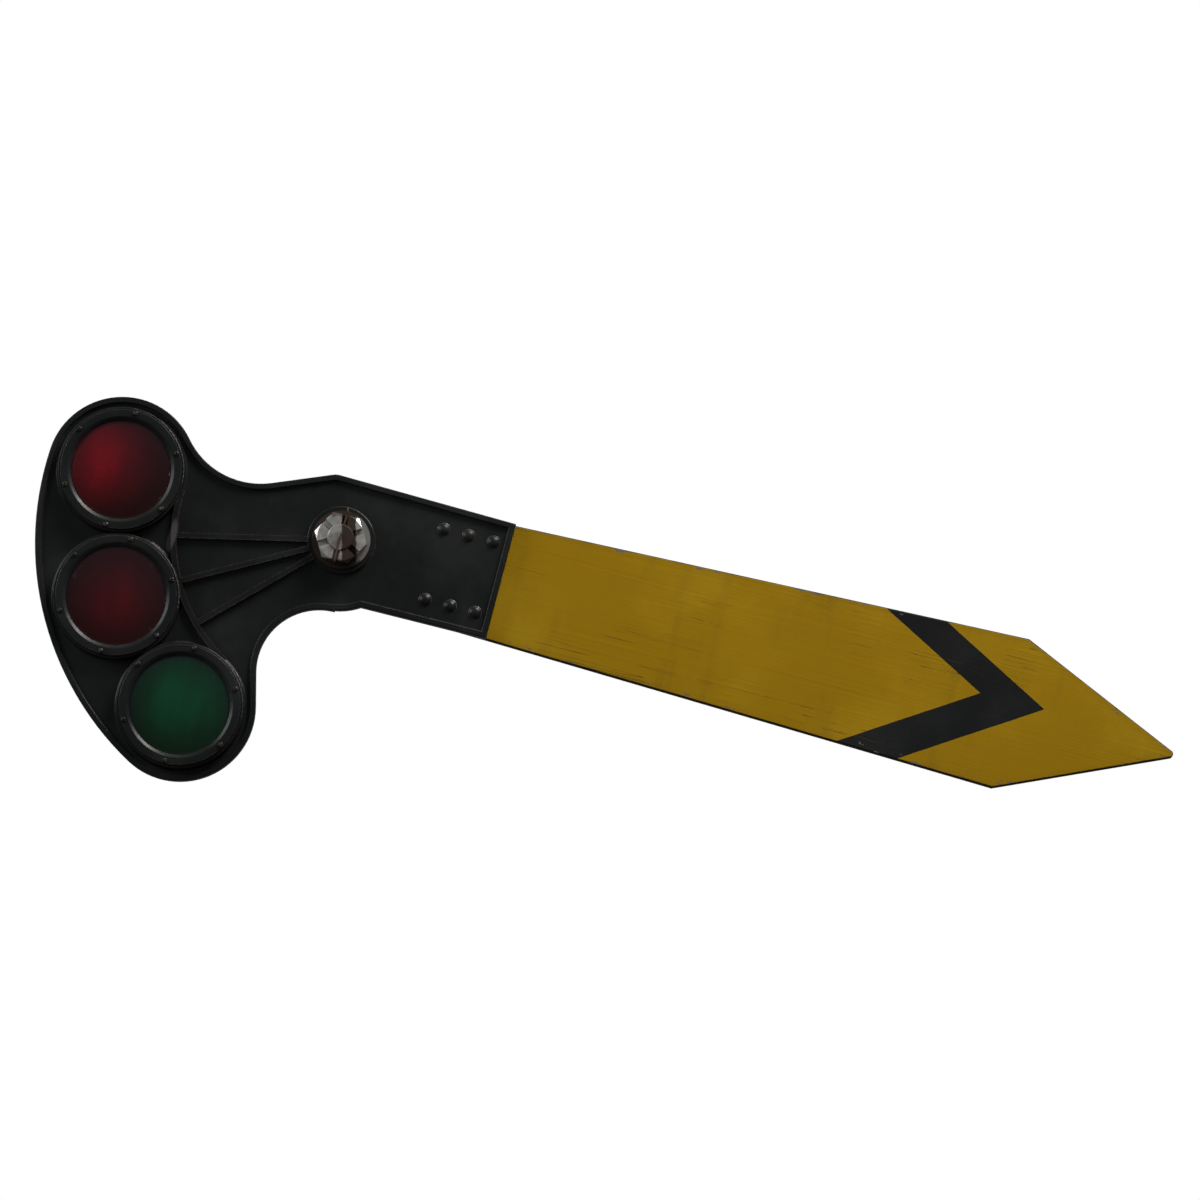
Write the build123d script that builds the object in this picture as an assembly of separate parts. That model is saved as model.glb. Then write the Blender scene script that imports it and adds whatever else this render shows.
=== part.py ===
from build123d import *

import os
from math import atan2, cos, degrees, hypot, radians, sin, tan

# Railway semaphore arm, lower quadrant: a cast spectacle with three glass roundels, a wooden
# blade, and the pivot bearing that bolts to the mast.
#
# Frame, in millimetres: the pivot axis is the Y axis, the arm points along +X at Stop, +Z is up,
# and the front, which the driver sees, faces -Y. The origin is on the pivot axis, in the face of
# the bearing flange that meets the mast. Depths are given as distances in front of that face.

# ---- Roundels and their seats ----
LENS_NAMES = ("upper_red", "middle_red", "green")
FIRST_LENS_ANGLE = 176.8      # of the upper roundel about the pivot, from +X towards +Z
LENS_STEP = 32.0              # from one roundel to the next, half the arm's travel
LENS_HOLE_RADIUS = 80.0
ROUNDEL_LIP = 9.5             # how far the glass reaches over its seat
ROUNDEL_RIM = 6.0
ROUNDEL_DOME = 13.0
ROUNDEL_GLASS = 5.0
DOME_SETBACK = 1.0            # of the dome's edge, inside the lens hole
GASKET = 3.0
GASKET_SETBACK = 0.5          # of the gasket's bore, outside the lens hole
SEAT_CLEARANCE = 0.5          # radial, roundel in its seat
SEAT_WALL = 14.0
SEAT_HEIGHT = 18.0            # in front of the plate
SEAT_SPACING = 0.4            # between neighbouring seats
SEAT_ROOT_ROUND = 5.0
RING = 6.0
RING_INSET = 4.5              # from the seat's edge to the retaining ring's
RING_LIP_BACK = 2.0           # ring's bore, outside the edge of the lens hole
RING_BEVEL = 2.0
RING_SCREWS = 6
RING_SCREW_RADIUS = 2.5
RING_SCREW_CLEARANCE = 0.15   # radial, in the ring
RING_SCREW_LENGTH = 14.0
RING_SCREW_DEPTH = 12.0       # of its hole in the seat
RING_SCREW_HEAD_RADIUS = 4.4
RING_SCREW_HEAD = 2.8
SCREW_SLOT = 1.4

# ---- Spectacle casting ----
LOBE_MARGIN = 19.0            # casting outside a seat
PLATE = 12.0
RIM_WIDTH = 10.0
RIM_HEIGHT = 6.0
EDGE_ROUND = 2.0
WEB_RIB_WIDTH = 9.0
WEB_RIB_HEIGHT = 8.0
HUB_DISC_MARGIN = 12.0        # disc round the hub, beyond the blade's half width
HUB_DISC_DROP = 7.0           # of the disc, below the pivot
NECK_APEX_BACK = 35.0         # highest point of the casting, behind the pivot
NECK_APEX_RISE = 7.0          # and above the blade's edge
NECK_APEX_ROUND = 28.0
NECK_SLOPE = 22.3             # fall of the neck's upper edge towards the upper lobe
NECK_UPPER_FILLET = 130.0
NECK_LOWER_LEAN = 104.3       # direction of the neck's lower edge
NECK_LOWER_FILLET = 102.0
TONGUE_END = 270.0            # where the casting stops and the blade shows
TONGUE_LAP = 0.5              # tongue beyond the blade's edge, at its end
TONGUE_FLARE = 2.0            # the same below the pivot
HUB_BACK_HEIGHT = 4.7         # hub behind the plate
HUB_FRONT_HEIGHT = 6.0
HUB_MARGIN = 8.0              # hub outside its washer

# ---- Blade ----
BLADE_GRIP = 140.0            # length of the root behind the tongue
BLADE_SHOULDER = 1130.0
BLADE_TIP = 1412.0            # before the point is rounded
BLADE_HALF_AT_TONGUE = 97.0
BLADE_HALF_AT_SHOULDER = 126.0
BLADE = 22.0
BLADE_EDGE_ROUND = 2.5
TIP_ROUND = 6.0
CLAMP = 6.0
CLAMP_MARGIN = 14.0           # plate beyond the outer columns of bolts
CLAMP_SIDE_MARGIN = 22.0
CLAMP_CORNER = 10.0
BLADE_BOLT_STEPS = (112.0, 70.0, 28.0)  # columns of bolts, back from the tongue's end
BLADE_BOLT_HALF_SPACING = 60.0
BLADE_BOLT_RADIUS = 5.0
BLADE_BOLT_CLEARANCE = 0.15
BLADE_BOLT_HEAD_RADIUS = 11.0
BLADE_BOLT_HEAD = 5.5
BLADE_BOLT_WASHER = 2.0
BLADE_BOLT_NUT = 8.0
BLADE_BOLT_NUT_FLATS = 17.0
BLADE_BOLT_SPARE = 4.0

# ---- Shaft and bearing ----
JOURNAL_RADIUS = 26.0
SHOULDER_STEP = 3.0           # down from the journal to the keyed seat
THREAD_STEP = 1.0             # and from the seat to the thread
THREAD_START = 2.0            # of the thread, behind the hub's front
SHAFT_CHAMFER = 2.0
RUNNING = 0.05                # radial, journal in its bushes
SNUG = 0.02                   # radial, parts fixed to each other
END_FLOAT = 0.3               # along the shaft, between turning and fixed faces
BUSH_WALL = 6.0
BUSH_LENGTH = 34.0
BUSH_FLANGE = 5.0
BUSH_FLANGE_WIDTH = 6.0
BARREL_WALL = 14.0
BARREL_FRONT = 112.0
FLANGE = 18.0
FLANGE_MARGIN = 16.0          # outside the circle of its bolts
FLANGE_BOLTS = 4
FLANGE_BOLT_HOLE_RADIUS = 6.5
FLANGE_BOLT_MARGIN = 2.5      # between the bolt holes and the cover
GUSSET = 10.0
GUSSET_REACH = 50.0
GUSSET_MARGIN = 8.0           # inside the flange's edge
RECESS_DEPTH = 28.0
RECESS_MARGIN = 5.0           # round the thrust collar
COLLAR = 14.0
COLLAR_WALL = 11.0
COLLAR_PIN_RADIUS = 4.0
COVER = 4.7
COVER_RECESS = 5.0
COVER_LEDGE = 9.0
COVER_SCREWS = 4
COVER_SCREW_RADIUS = 2.0
COVER_SCREW_LENGTH = 12.0
COVER_SCREW_DEPTH = 14.0
FELT_WIDTH = 5.5
GREASE_CAVITY_STEP = 4.0      # cavity between the bushes, outside their bore
GREASE_NIPPLE_RADIUS = 5.0
GREASE_BOSS = 4.0             # height of the nipple's boss on the barrel
GREASE_NIPPLE_HEXAGON = 6.0   # to its corners
GREASE_NIPPLE_COLLAR = 4.0
GREASE_NIPPLE_NECK = 10.0
GREASE_NIPPLE_BALL = 3.25
KEY_WIDTH = 12.0
KEY_IN_SHAFT = 5.0
KEY_IN_HUB = 3.0
KEY_CLEARANCE = 0.1
KEY_END_GAP = 1.3

# ---- Hub fastening ----
HUB_WASHER = 4.0
WASHER_MARGIN = 4.1           # washer beyond the nut's corners
NUT = 26.0
NUT_WALL = 16.0
NUT_SLOT = 10.0
NUT_SLOT_DEPTH = 9.0
NUT_CORNER_TURN = 0.6         # corners turned off, as a share of what stands outside the flats
SHAFT_SPARE = 2.0             # shaft end beyond the nut
COTTER_WIRE = 1.7
COTTER_LEG_OFFSET = 1.5
COTTER_CLEARANCE = 0.5
COTTER_EYE_RADIUS = 5.0
COTTER_OUT = 0.6              # between the folded legs and the nut
COTTER_BEND = 2.5
COTTER_TAIL = 16.0
COTTER_OVERLAP = 6.0          # front leg, past the middle of the shaft's end

# ---- Crank and stops ----
CRANK_HUB = 28.0
CRANK_HUB_WALL = 19.0
CRANK_THROW = 150.0
CRANK_HALF_WIDTH = 18.0
CRANK_WEB = 16.0
CRANK_EYE = 20.0
CRANK_EYE_WALL = 11.0
CRANK_EYE_SETBACK = 2.0       # eye in front of the hub's back face
CRANK_PIN_BORE_RADIUS = 10.0
CRANK_BUSH_WALL = 3.0
STOP_GAP = 0.3
STOP_LUG_LENGTH = 26.0
STOP_LUG_WIDTH = 16.0
STOP_LUG_CLEAR = 23.0         # between the crank's hub and a lug
STOP_LUG_OFF = 8.0            # from the crank's edge to the lug
STOP_LUG_OVERHANG = 4.0       # lug in front of the crank's web
STOP_HORN_HALF = 12.0
STOP_HORN = 24.0
STOP_SCREW_RADIUS = 6.0
STOP_SCREW_LENGTH = 38.0
STOP_NUT = 8.0
STOP_NUT_FLATS = 19.0
LUG_BORE_OVERRUN = 1.0        # of the cut for a stop screw, past each side of its lug

# ---- Sizes that follow, across ----
TRAVEL = 2 * LENS_STEP
CRANK_ANGLE = FIRST_LENS_ANGLE + LENS_STEP
ROUNDEL_RADIUS = LENS_HOLE_RADIUS + ROUNDEL_LIP
SEAT_BORE_RADIUS = ROUNDEL_RADIUS + SEAT_CLEARANCE
SEAT_OUTER_RADIUS = SEAT_BORE_RADIUS + SEAT_WALL
LENS_PITCH_RADIUS = (SEAT_OUTER_RADIUS + SEAT_SPACING / 2) / sin(radians(LENS_STEP / 2))
RING_INNER_RADIUS = LENS_HOLE_RADIUS + RING_LIP_BACK
RING_OUTER_RADIUS = SEAT_OUTER_RADIUS - RING_INSET
RING_SCREW_PITCH_RADIUS = (SEAT_BORE_RADIUS + RING_OUTER_RADIUS) / 2
LOBE_RADIUS = SEAT_OUTER_RADIUS + LOBE_MARGIN
RIM_RADIUS = LENS_PITCH_RADIUS + LOBE_RADIUS
HUB_DISC_RADIUS = BLADE_HALF_AT_TONGUE + HUB_DISC_MARGIN
HUB_UNDERSIDE = -HUB_DISC_RADIUS - HUB_DISC_DROP
NECK_APEX = (-NECK_APEX_BACK, BLADE_HALF_AT_TONGUE + NECK_APEX_RISE)
BLADE_ROOT = TONGUE_END - BLADE_GRIP
BLADE_BOLT_COLUMNS = tuple(TONGUE_END - step for step in BLADE_BOLT_STEPS)
SEAT_SHAFT_RADIUS = JOURNAL_RADIUS - SHOULDER_STEP
THREAD_RADIUS = SEAT_SHAFT_RADIUS - THREAD_STEP
KEY_BOTTOM = SEAT_SHAFT_RADIUS - KEY_IN_SHAFT
KEY_TOP = SEAT_SHAFT_RADIUS + KEY_IN_HUB
BUSH_OUTER_RADIUS = JOURNAL_RADIUS + BUSH_WALL
BUSH_FLANGE_RADIUS = BUSH_OUTER_RADIUS + BUSH_FLANGE_WIDTH
BARREL_RADIUS = BUSH_OUTER_RADIUS + BARREL_WALL
GREASE_CAVITY_RADIUS = BUSH_OUTER_RADIUS + GREASE_CAVITY_STEP
COLLAR_RADIUS = JOURNAL_RADIUS + COLLAR_WALL
RECESS_RADIUS = COLLAR_RADIUS + RECESS_MARGIN
COVER_RADIUS = RECESS_RADIUS + COVER_LEDGE
COVER_SCREW_PITCH_RADIUS = (RECESS_RADIUS + COVER_RADIUS) / 2
FLANGE_BOLT_PITCH_RADIUS = COVER_RADIUS + FLANGE_BOLT_MARGIN + FLANGE_BOLT_HOLE_RADIUS
FLANGE_RADIUS = FLANGE_BOLT_PITCH_RADIUS + FLANGE_MARGIN
NUT_FLATS = 2 * (THREAD_RADIUS + NUT_WALL)
HUB_WASHER_RADIUS = NUT_FLATS / 3**0.5 + WASHER_MARGIN
HUB_RADIUS = HUB_WASHER_RADIUS + HUB_MARGIN
COTTER_HOLE_RADIUS = COTTER_WIRE + COTTER_LEG_OFFSET + COTTER_CLEARANCE
CRANK_HUB_RADIUS = SEAT_SHAFT_RADIUS + CRANK_HUB_WALL
CRANK_BUSH_RADIUS = CRANK_PIN_BORE_RADIUS + CRANK_BUSH_WALL
CRANK_EYE_RADIUS = CRANK_BUSH_RADIUS + CRANK_EYE_WALL
STOP_REACH = CRANK_HUB_RADIUS + STOP_LUG_CLEAR + STOP_LUG_LENGTH / 2
LUG_START = CRANK_HALF_WIDTH + STOP_LUG_OFF
LUG_END = LUG_START + STOP_LUG_WIDTH

# ---- Depths that follow, from the mast's face to the front ----
COLLAR_FRONT = RECESS_DEPTH - BUSH_FLANGE - END_FLOAT
SHAFT_BACK = COLLAR_FRONT - COLLAR
COLLAR_MIDDLE = SHAFT_BACK + COLLAR / 2
CAVITY_BACK = RECESS_DEPTH + BUSH_LENGTH
CAVITY_FRONT = BARREL_FRONT - BUSH_LENGTH
CAVITY_MIDDLE = (CAVITY_BACK + CAVITY_FRONT) / 2
CRANK_BACK = BARREL_FRONT + BUSH_FLANGE + END_FLOAT
CRANK_FRONT = CRANK_BACK + CRANK_HUB
CRANK_MIDDLE = CRANK_BACK + CRANK_EYE_SETBACK + CRANK_EYE / 2
PLATE_BACK = CRANK_FRONT + HUB_BACK_HEIGHT
PLATE_FRONT = PLATE_BACK + PLATE
BLADE_BACK = PLATE_BACK - BLADE
CLAMP_BACK = BLADE_BACK - CLAMP
WASHER_BACK = CLAMP_BACK - BLADE_BOLT_WASHER
SEAT_FRONT = PLATE_FRONT + SEAT_HEIGHT
GLASS_BACK = SEAT_FRONT - ROUNDEL_RIM
GASKET_BACK = GLASS_BACK - GASKET
RING_FRONT = SEAT_FRONT + RING
HUB_FRONT = PLATE_FRONT + HUB_FRONT_HEIGHT
NUT_BACK = HUB_FRONT + HUB_WASHER
NUT_FRONT = NUT_BACK + NUT
COTTER_DEPTH = NUT_FRONT - NUT_SLOT_DEPTH / 2
SHAFT_FRONT = NUT_FRONT + SHAFT_SPARE


# ---- Helpers ----
def polar(radius, angle):
    """The point at a radius from the pivot, and an angle from +X towards +Z."""
    return (radius * cos(radians(angle)), radius * sin(radians(angle)))


def slab(outline, back, thickness):
    """A flat outline in X and Z, made solid from a depth towards the front."""
    return extrude(Plane.XZ.offset(back) * outline, thickness)


def rod(radius, back, length, x=0.0, z=0.0):
    """A cylinder along the pivot axis, from a depth towards the front."""
    return Pos(x, -back, z) * Rot(90, 0, 0) * Cylinder(
        radius, length, align=(Align.CENTER, Align.CENTER, Align.MIN)
    )


def tube(inner, outer, back, length, x=0.0, z=0.0):
    """A ring along the pivot axis."""
    return rod(outer, back, length, x, z) - rod(inner, back, length, x, z)


def turned(*profile):
    """A solid of revolution about the pivot axis, from points (radius, depth)."""
    outline = Polyline(*[(radius, -depth) for radius, depth in profile], close=True)
    return revolve(make_face(outline), Axis.Y)


def hexagon(flats, back, thickness, x=0.0, z=0.0):
    """A hexagonal prism along the pivot axis, with corners left and right."""
    shape = RegularPolygon(flats / 2, 6, major_radius=False)
    return Pos(x, 0, z) * slab(shape, back, thickness)


def around(count, radius, start=0.0):
    """Points evenly spaced on a circle about the pivot."""
    return [polar(radius, start + 360 * turn / count) for turn in range(count)]


def nearest(shape, point):
    """The corner of a flat outline nearest to a point."""
    return shape.vertices().sort_by_distance((point[0], point[1], 0))[0]


LENS_CENTRES = [
    polar(LENS_PITCH_RADIUS, FIRST_LENS_ANGLE + LENS_STEP * turn)
    for turn in range(len(LENS_NAMES))
]


# ---- Spectacle casting ----
def blade_half_width(x):
    """Half the blade's width at a distance from the pivot."""
    share = (x - TONGUE_END) / (BLADE_SHOULDER - TONGUE_END)
    return BLADE_HALF_AT_TONGUE + share * (BLADE_HALF_AT_SHOULDER - BLADE_HALF_AT_TONGUE)


def arc_about(centre, start, end):
    """The shorter arc between two points that lie at the same distance from a centre."""
    toward = ((start[0] + end[0]) / 2 - centre[0], (start[1] + end[1]) / 2 - centre[1])
    radius = hypot(start[0] - centre[0], start[1] - centre[1])
    scale = radius / hypot(*toward)
    middle = (centre[0] + toward[0] * scale, centre[1] + toward[1] * scale)
    return ThreePointArc(start, middle, end)


def upper_neck():
    """The neck's upper edge: it falls from the apex and sweeps up into the upper lobe."""
    lobe = LENS_CENTRES[0]
    down = polar(-1, NECK_SLOPE)
    up = polar(1, NECK_SLOPE + 90)
    # The sweep's centre lies at its radius above the edge, and at both radii from the lobe.
    lifted = tuple(a + NECK_UPPER_FILLET * b - c for a, b, c in zip(NECK_APEX, up, lobe))
    half = lifted[0] * down[0] + lifted[1] * down[1]
    reach = LOBE_RADIUS + NECK_UPPER_FILLET
    run = -half - (half**2 - lifted[0] ** 2 - lifted[1] ** 2 + reach**2) ** 0.5
    edge_end = tuple(a + run * b for a, b in zip(NECK_APEX, down))
    centre = tuple(a + NECK_UPPER_FILLET * b for a, b in zip(edge_end, up))
    lobe_end = tuple(a + (b - a) * LOBE_RADIUS / reach for a, b in zip(lobe, centre))
    return edge_end, centre, lobe_end


def lower_neck():
    """The neck's lower edge: a tangent off the lower lobe, then a sweep under the hub."""
    lobe = LENS_CENTRES[-1]
    along = polar(1, NECK_LOWER_LEAN)
    outwards = polar(LOBE_RADIUS, NECK_LOWER_LEAN - 90)
    leaving = (lobe[0] + outwards[0], lobe[1] + outwards[1])
    rise = (HUB_UNDERSIDE - leaving[1]) / along[1]
    corner = leaving[0] + along[0] * rise
    tangent = NECK_LOWER_FILLET * tan(radians(NECK_LOWER_LEAN / 2))
    start = (corner - along[0] * tangent, HUB_UNDERSIDE - along[1] * tangent)
    end = (corner + tangent, HUB_UNDERSIDE)
    centre = (end[0], end[1] - NECK_LOWER_FILLET)
    return leaving, start, centre, end


def casting_outline():
    """Fan round the roundels, neck, hub disc and the tongue that holds the blade."""
    upper, _, lower = LENS_CENTRES
    rim_start = polar(RIM_RADIUS, FIRST_LENS_ANGLE)
    rim_middle = polar(RIM_RADIUS, CRANK_ANGLE)
    rim_end = polar(RIM_RADIUS, FIRST_LENS_ANGLE + TRAVEL)
    edge_end, upper_centre, lobe_end = upper_neck()
    leaving, sweep_start, lower_centre, sweep_end = lower_neck()
    fan = make_face(
        [
            Line((0, 0), upper),
            Line(upper, rim_start),
            ThreePointArc(rim_start, rim_middle, rim_end),
            Line(rim_end, lower),
            Line(lower, (0, 0)),
        ]
    )
    neck = make_face(
        [
            Line(NECK_APEX, edge_end),
            arc_about(upper_centre, edge_end, lobe_end),
            Line(lobe_end, upper),
            Line(upper, lower),
            Line(lower, leaving),
            Line(leaving, sweep_start),
            arc_about(lower_centre, sweep_start, sweep_end),
            Line(sweep_end, (0, 0)),
            Line((0, 0), NECK_APEX),
        ]
    )
    # Level underside from the lower sweep's end to the lowest point of the hub's disc.
    under_hub = make_face(
        Polyline(
            sweep_end, (0, HUB_UNDERSIDE), (0, 0), (sweep_end[0], 0), close=True,
        )
    )
    tongue_end_half = BLADE_HALF_AT_TONGUE + TONGUE_LAP
    tongue_root_half = BLADE_HALF_AT_TONGUE + TONGUE_FLARE
    tongue = make_face(
        Polyline(
            NECK_APEX, (TONGUE_END, tongue_end_half), (TONGUE_END, -tongue_end_half),
            (0, -tongue_root_half), (NECK_APEX[0], 0), close=True,
        )
    )
    outline = fan + neck + under_hub + tongue
    outline += Pos(0, -HUB_DISC_DROP) * Circle(HUB_DISC_RADIUS)
    inside = polar(LENS_PITCH_RADIUS / 2, CRANK_ANGLE)
    for x, z in LENS_CENTRES:
        # Each lobe's circle starts inside the casting, so its free edge is one whole arc.
        inwards = degrees(atan2(inside[1] - z, inside[0] - x))
        outline += Pos(x, z) * Rot(0, 0, inwards) * Circle(LOBE_RADIUS)
    return fillet(nearest(outline, NECK_APEX), NECK_APEX_ROUND)


def web_ribs():
    """Raised ribs between the hub and the lens seats, and the arc that joins the seats."""
    inner = LENS_PITCH_RADIUS - SEAT_OUTER_RADIUS
    ribs = Circle(inner + WEB_RIB_WIDTH / 2) - Circle(inner - WEB_RIB_WIDTH / 2)
    reach = 2 * RIM_RADIUS
    wedge = make_face(
        Polyline(
            (0, 0), polar(reach, FIRST_LENS_ANGLE), polar(reach, FIRST_LENS_ANGLE + TRAVEL),
            close=True,
        )
    )
    ribs = ribs & wedge
    for turn in (0.5, 1.0, 1.5):
        angle = FIRST_LENS_ANGLE + turn * LENS_STEP
        length = inner - HUB_RADIUS + 2 * EDGE_ROUND
        middle = polar(HUB_RADIUS - EDGE_ROUND + length / 2, angle)
        ribs += Pos(*middle) * Rot(0, 0, angle) * Rectangle(length, WEB_RIB_WIDTH)
    return slab(ribs, PLATE_FRONT, WEB_RIB_HEIGHT)


def lens_seat(x, z):
    """The raised cup that holds one roundel, with a rounded root and top edge."""
    root = SEAT_ROOT_ROUND
    top = EDGE_ROUND
    outer = SEAT_OUTER_RADIUS
    profile = [
        Line((0, -PLATE_BACK), (outer + root, -PLATE_BACK)),
        Line((outer + root, -PLATE_BACK), (outer + root, -PLATE_FRONT)),
        RadiusArc((outer + root, -PLATE_FRONT), (outer, -PLATE_FRONT - root), -root),
        Line((outer, -PLATE_FRONT - root), (outer, -SEAT_FRONT + top)),
        RadiusArc((outer, -SEAT_FRONT + top), (outer - top, -SEAT_FRONT), top),
        Line((outer - top, -SEAT_FRONT), (0, -SEAT_FRONT)),
        Line((0, -SEAT_FRONT), (0, -PLATE_BACK)),
    ]
    return Pos(x, 0, z) * revolve(make_face(profile), Axis.Y)


def ring_screw_places(x, z):
    """Where the screws of one retaining ring stand."""
    step = 360 / RING_SCREWS
    return [
        (x + dx, z + dz)
        for dx, dz in around(RING_SCREWS, RING_SCREW_PITCH_RADIUS, start=step / 2)
    ]


def blade_bolt_places():
    """Where the bolts through the tongue, blade and clamp stand."""
    return [(x, side * BLADE_BOLT_HALF_SPACING) for x in BLADE_BOLT_COLUMNS for side in (1, -1)]


def keyway(back, length):
    """The slot for a key above the shaft, cut in the shaft and in what it drives."""
    height = KEY_TOP - KEY_BOTTOM + 2 * KEY_CLEARANCE
    width = KEY_WIDTH + 2 * KEY_CLEARANCE
    middle = (KEY_TOP + KEY_BOTTOM) / 2
    return Pos(0, -back - length / 2, middle) * Box(width, length, height)


def spectacle_casting():
    outline = casting_outline()
    body = slab(outline, PLATE_BACK, PLATE)
    rim = slab(outline - offset(outline, -RIM_WIDTH), PLATE_FRONT, RIM_HEIGHT)
    body += fillet(rim.faces().sort_by(Axis.Y)[0].edges(), EDGE_ROUND)
    body += web_ribs()
    hub = rod(HUB_RADIUS, CRANK_FRONT, HUB_FRONT - CRANK_FRONT)
    body += fillet(hub.faces().sort_by(Axis.Y)[0].edges(), EDGE_ROUND)
    for x, z in LENS_CENTRES:
        body += lens_seat(x, z)
    for x, z in LENS_CENTRES:
        body -= rod(LENS_HOLE_RADIUS, PLATE_BACK, SEAT_FRONT - PLATE_BACK, x, z)
        body -= rod(SEAT_BORE_RADIUS, GASKET_BACK, SEAT_HEIGHT, x, z)
        for place in ring_screw_places(x, z):
            body -= rod(RING_SCREW_RADIUS + SNUG, SEAT_FRONT - RING_SCREW_DEPTH, RING_SCREW_DEPTH, *place)
    for place in blade_bolt_places():
        body -= rod(BLADE_BOLT_RADIUS + BLADE_BOLT_CLEARANCE, PLATE_BACK, PLATE, *place)
    body -= rod(SEAT_SHAFT_RADIUS + SNUG, CRANK_FRONT, HUB_FRONT - CRANK_FRONT)
    body -= keyway(CRANK_FRONT, HUB_FRONT - CRANK_FRONT)
    return body


# ---- Roundels, gaskets and rings ----
def dome(crown, edge_radius, edge):
    """An arc from a crown on the axis to an edge, both given as Y, with its centre on the axis."""
    rise = edge - crown
    ball = (edge_radius**2 + rise**2) / (2 * rise)
    half = atan2(edge_radius, ball - rise) / 2
    middle = (ball * sin(half), crown + ball * (1 - cos(half)))
    return ThreePointArc((0, crown), middle, (edge_radius, edge))


def roundel(x, z):
    """A domed glass roundel with a flat rim."""
    rim_back = -GLASS_BACK
    rim_front = -SEAT_FRONT
    dome_edge = LENS_HOLE_RADIUS - DOME_SETBACK
    crown_front = rim_front - ROUNDEL_DOME
    crown_back = crown_front + ROUNDEL_GLASS
    profile = [
        dome(crown_front, dome_edge, rim_front),
        Line((dome_edge, rim_front), (ROUNDEL_RADIUS, rim_front)),
        Line((ROUNDEL_RADIUS, rim_front), (ROUNDEL_RADIUS, rim_back)),
        Line((ROUNDEL_RADIUS, rim_back), (dome_edge, rim_back)),
        dome(crown_back, dome_edge, rim_back),
        Line((0, crown_back), (0, crown_front)),
    ]
    return Pos(x, 0, z) * revolve(make_face(profile), Axis.Y)


def gasket(x, z):
    return tube(LENS_HOLE_RADIUS + GASKET_SETBACK, ROUNDEL_RADIUS, GASKET_BACK, GASKET, x, z)


def retaining_ring(x, z):
    """A flat ring with bevelled front edges, screwed to the seat."""
    front = RING_FRONT
    ring = turned(
        (RING_INNER_RADIUS, SEAT_FRONT),
        (RING_OUTER_RADIUS, SEAT_FRONT),
        (RING_OUTER_RADIUS, front - RING_BEVEL),
        (RING_OUTER_RADIUS - RING_BEVEL / 2, front),
        (RING_INNER_RADIUS + RING_BEVEL, front),
        (RING_INNER_RADIUS, front - RING_BEVEL),
    )
    ring = Pos(x, 0, z) * ring
    for place in ring_screw_places(x, z):
        ring -= rod(RING_SCREW_RADIUS + RING_SCREW_CLEARANCE, SEAT_FRONT, RING, *place)
    return ring


def round_head_screw(radius, length, head_radius, head, seat, x, z):
    """A slotted round-head screw: shank behind its seat, domed head in front."""
    round_head = Pos(x, -seat, z) * Sphere(head_radius)
    round_head = round_head & rod(head_radius, seat, head, x, z)
    screw = rod(radius, seat - length, length, x, z) + round_head
    return screw - Pos(x, -seat - head, z) * Box(3 * head_radius, head, SCREW_SLOT)


def ring_screws():
    return [
        round_head_screw(
            RING_SCREW_RADIUS, RING_SCREW_LENGTH, RING_SCREW_HEAD_RADIUS, RING_SCREW_HEAD,
            RING_FRONT, *place,
        )
        for centre in LENS_CENTRES
        for place in ring_screw_places(*centre)
    ]


# ---- Blade ----
def blade():
    """A tapered wooden board with square shoulders and a pointed end."""
    root_half = blade_half_width(BLADE_ROOT)
    outline = make_face(
        Polyline(
            (BLADE_ROOT, root_half), (BLADE_SHOULDER, BLADE_HALF_AT_SHOULDER), (BLADE_TIP, 0),
            (BLADE_SHOULDER, -BLADE_HALF_AT_SHOULDER), (BLADE_ROOT, -root_half), close=True,
        )
    )
    outline = fillet(nearest(outline, (BLADE_TIP, 0)), TIP_ROUND)
    board = slab(outline, BLADE_BACK, BLADE)
    faces = board.faces().sort_by(Axis.Y)
    board = fillet(faces[0].edges() + faces[-1].edges(), BLADE_EDGE_ROUND)
    for place in blade_bolt_places():
        board -= rod(BLADE_BOLT_RADIUS + BLADE_BOLT_CLEARANCE, BLADE_BACK, BLADE, *place)
    return board


def blade_clamp_plate():
    first, last = BLADE_BOLT_COLUMNS[0], BLADE_BOLT_COLUMNS[-1]
    length = last - first + 2 * CLAMP_MARGIN
    width = 2 * (BLADE_BOLT_HALF_SPACING + CLAMP_SIDE_MARGIN)
    outline = Pos((first + last) / 2, 0) * RectangleRounded(length, width, CLAMP_CORNER)
    plate = slab(outline, CLAMP_BACK, CLAMP)
    for place in blade_bolt_places():
        plate -= rod(BLADE_BOLT_RADIUS + BLADE_BOLT_CLEARANCE, CLAMP_BACK, CLAMP, *place)
    return plate


def blade_bolts():
    """Round-head bolts put in from the front."""
    back = WASHER_BACK - BLADE_BOLT_NUT - BLADE_BOLT_SPARE
    ball = (BLADE_BOLT_HEAD_RADIUS**2 + BLADE_BOLT_HEAD**2) / (2 * BLADE_BOLT_HEAD)
    bolts = []
    for x, z in blade_bolt_places():
        head = Pos(x, -PLATE_FRONT - BLADE_BOLT_HEAD + ball, z) * Sphere(ball)
        head = head & rod(ball, PLATE_FRONT, BLADE_BOLT_HEAD, x, z)
        bolts.append(head + rod(BLADE_BOLT_RADIUS, back, PLATE_FRONT - back, x, z))
    return bolts


def blade_bolt_washers():
    inner = BLADE_BOLT_RADIUS + BLADE_BOLT_CLEARANCE
    return [
        tube(inner, BLADE_BOLT_HEAD_RADIUS, WASHER_BACK, BLADE_BOLT_WASHER, *place)
        for place in blade_bolt_places()
    ]


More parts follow.
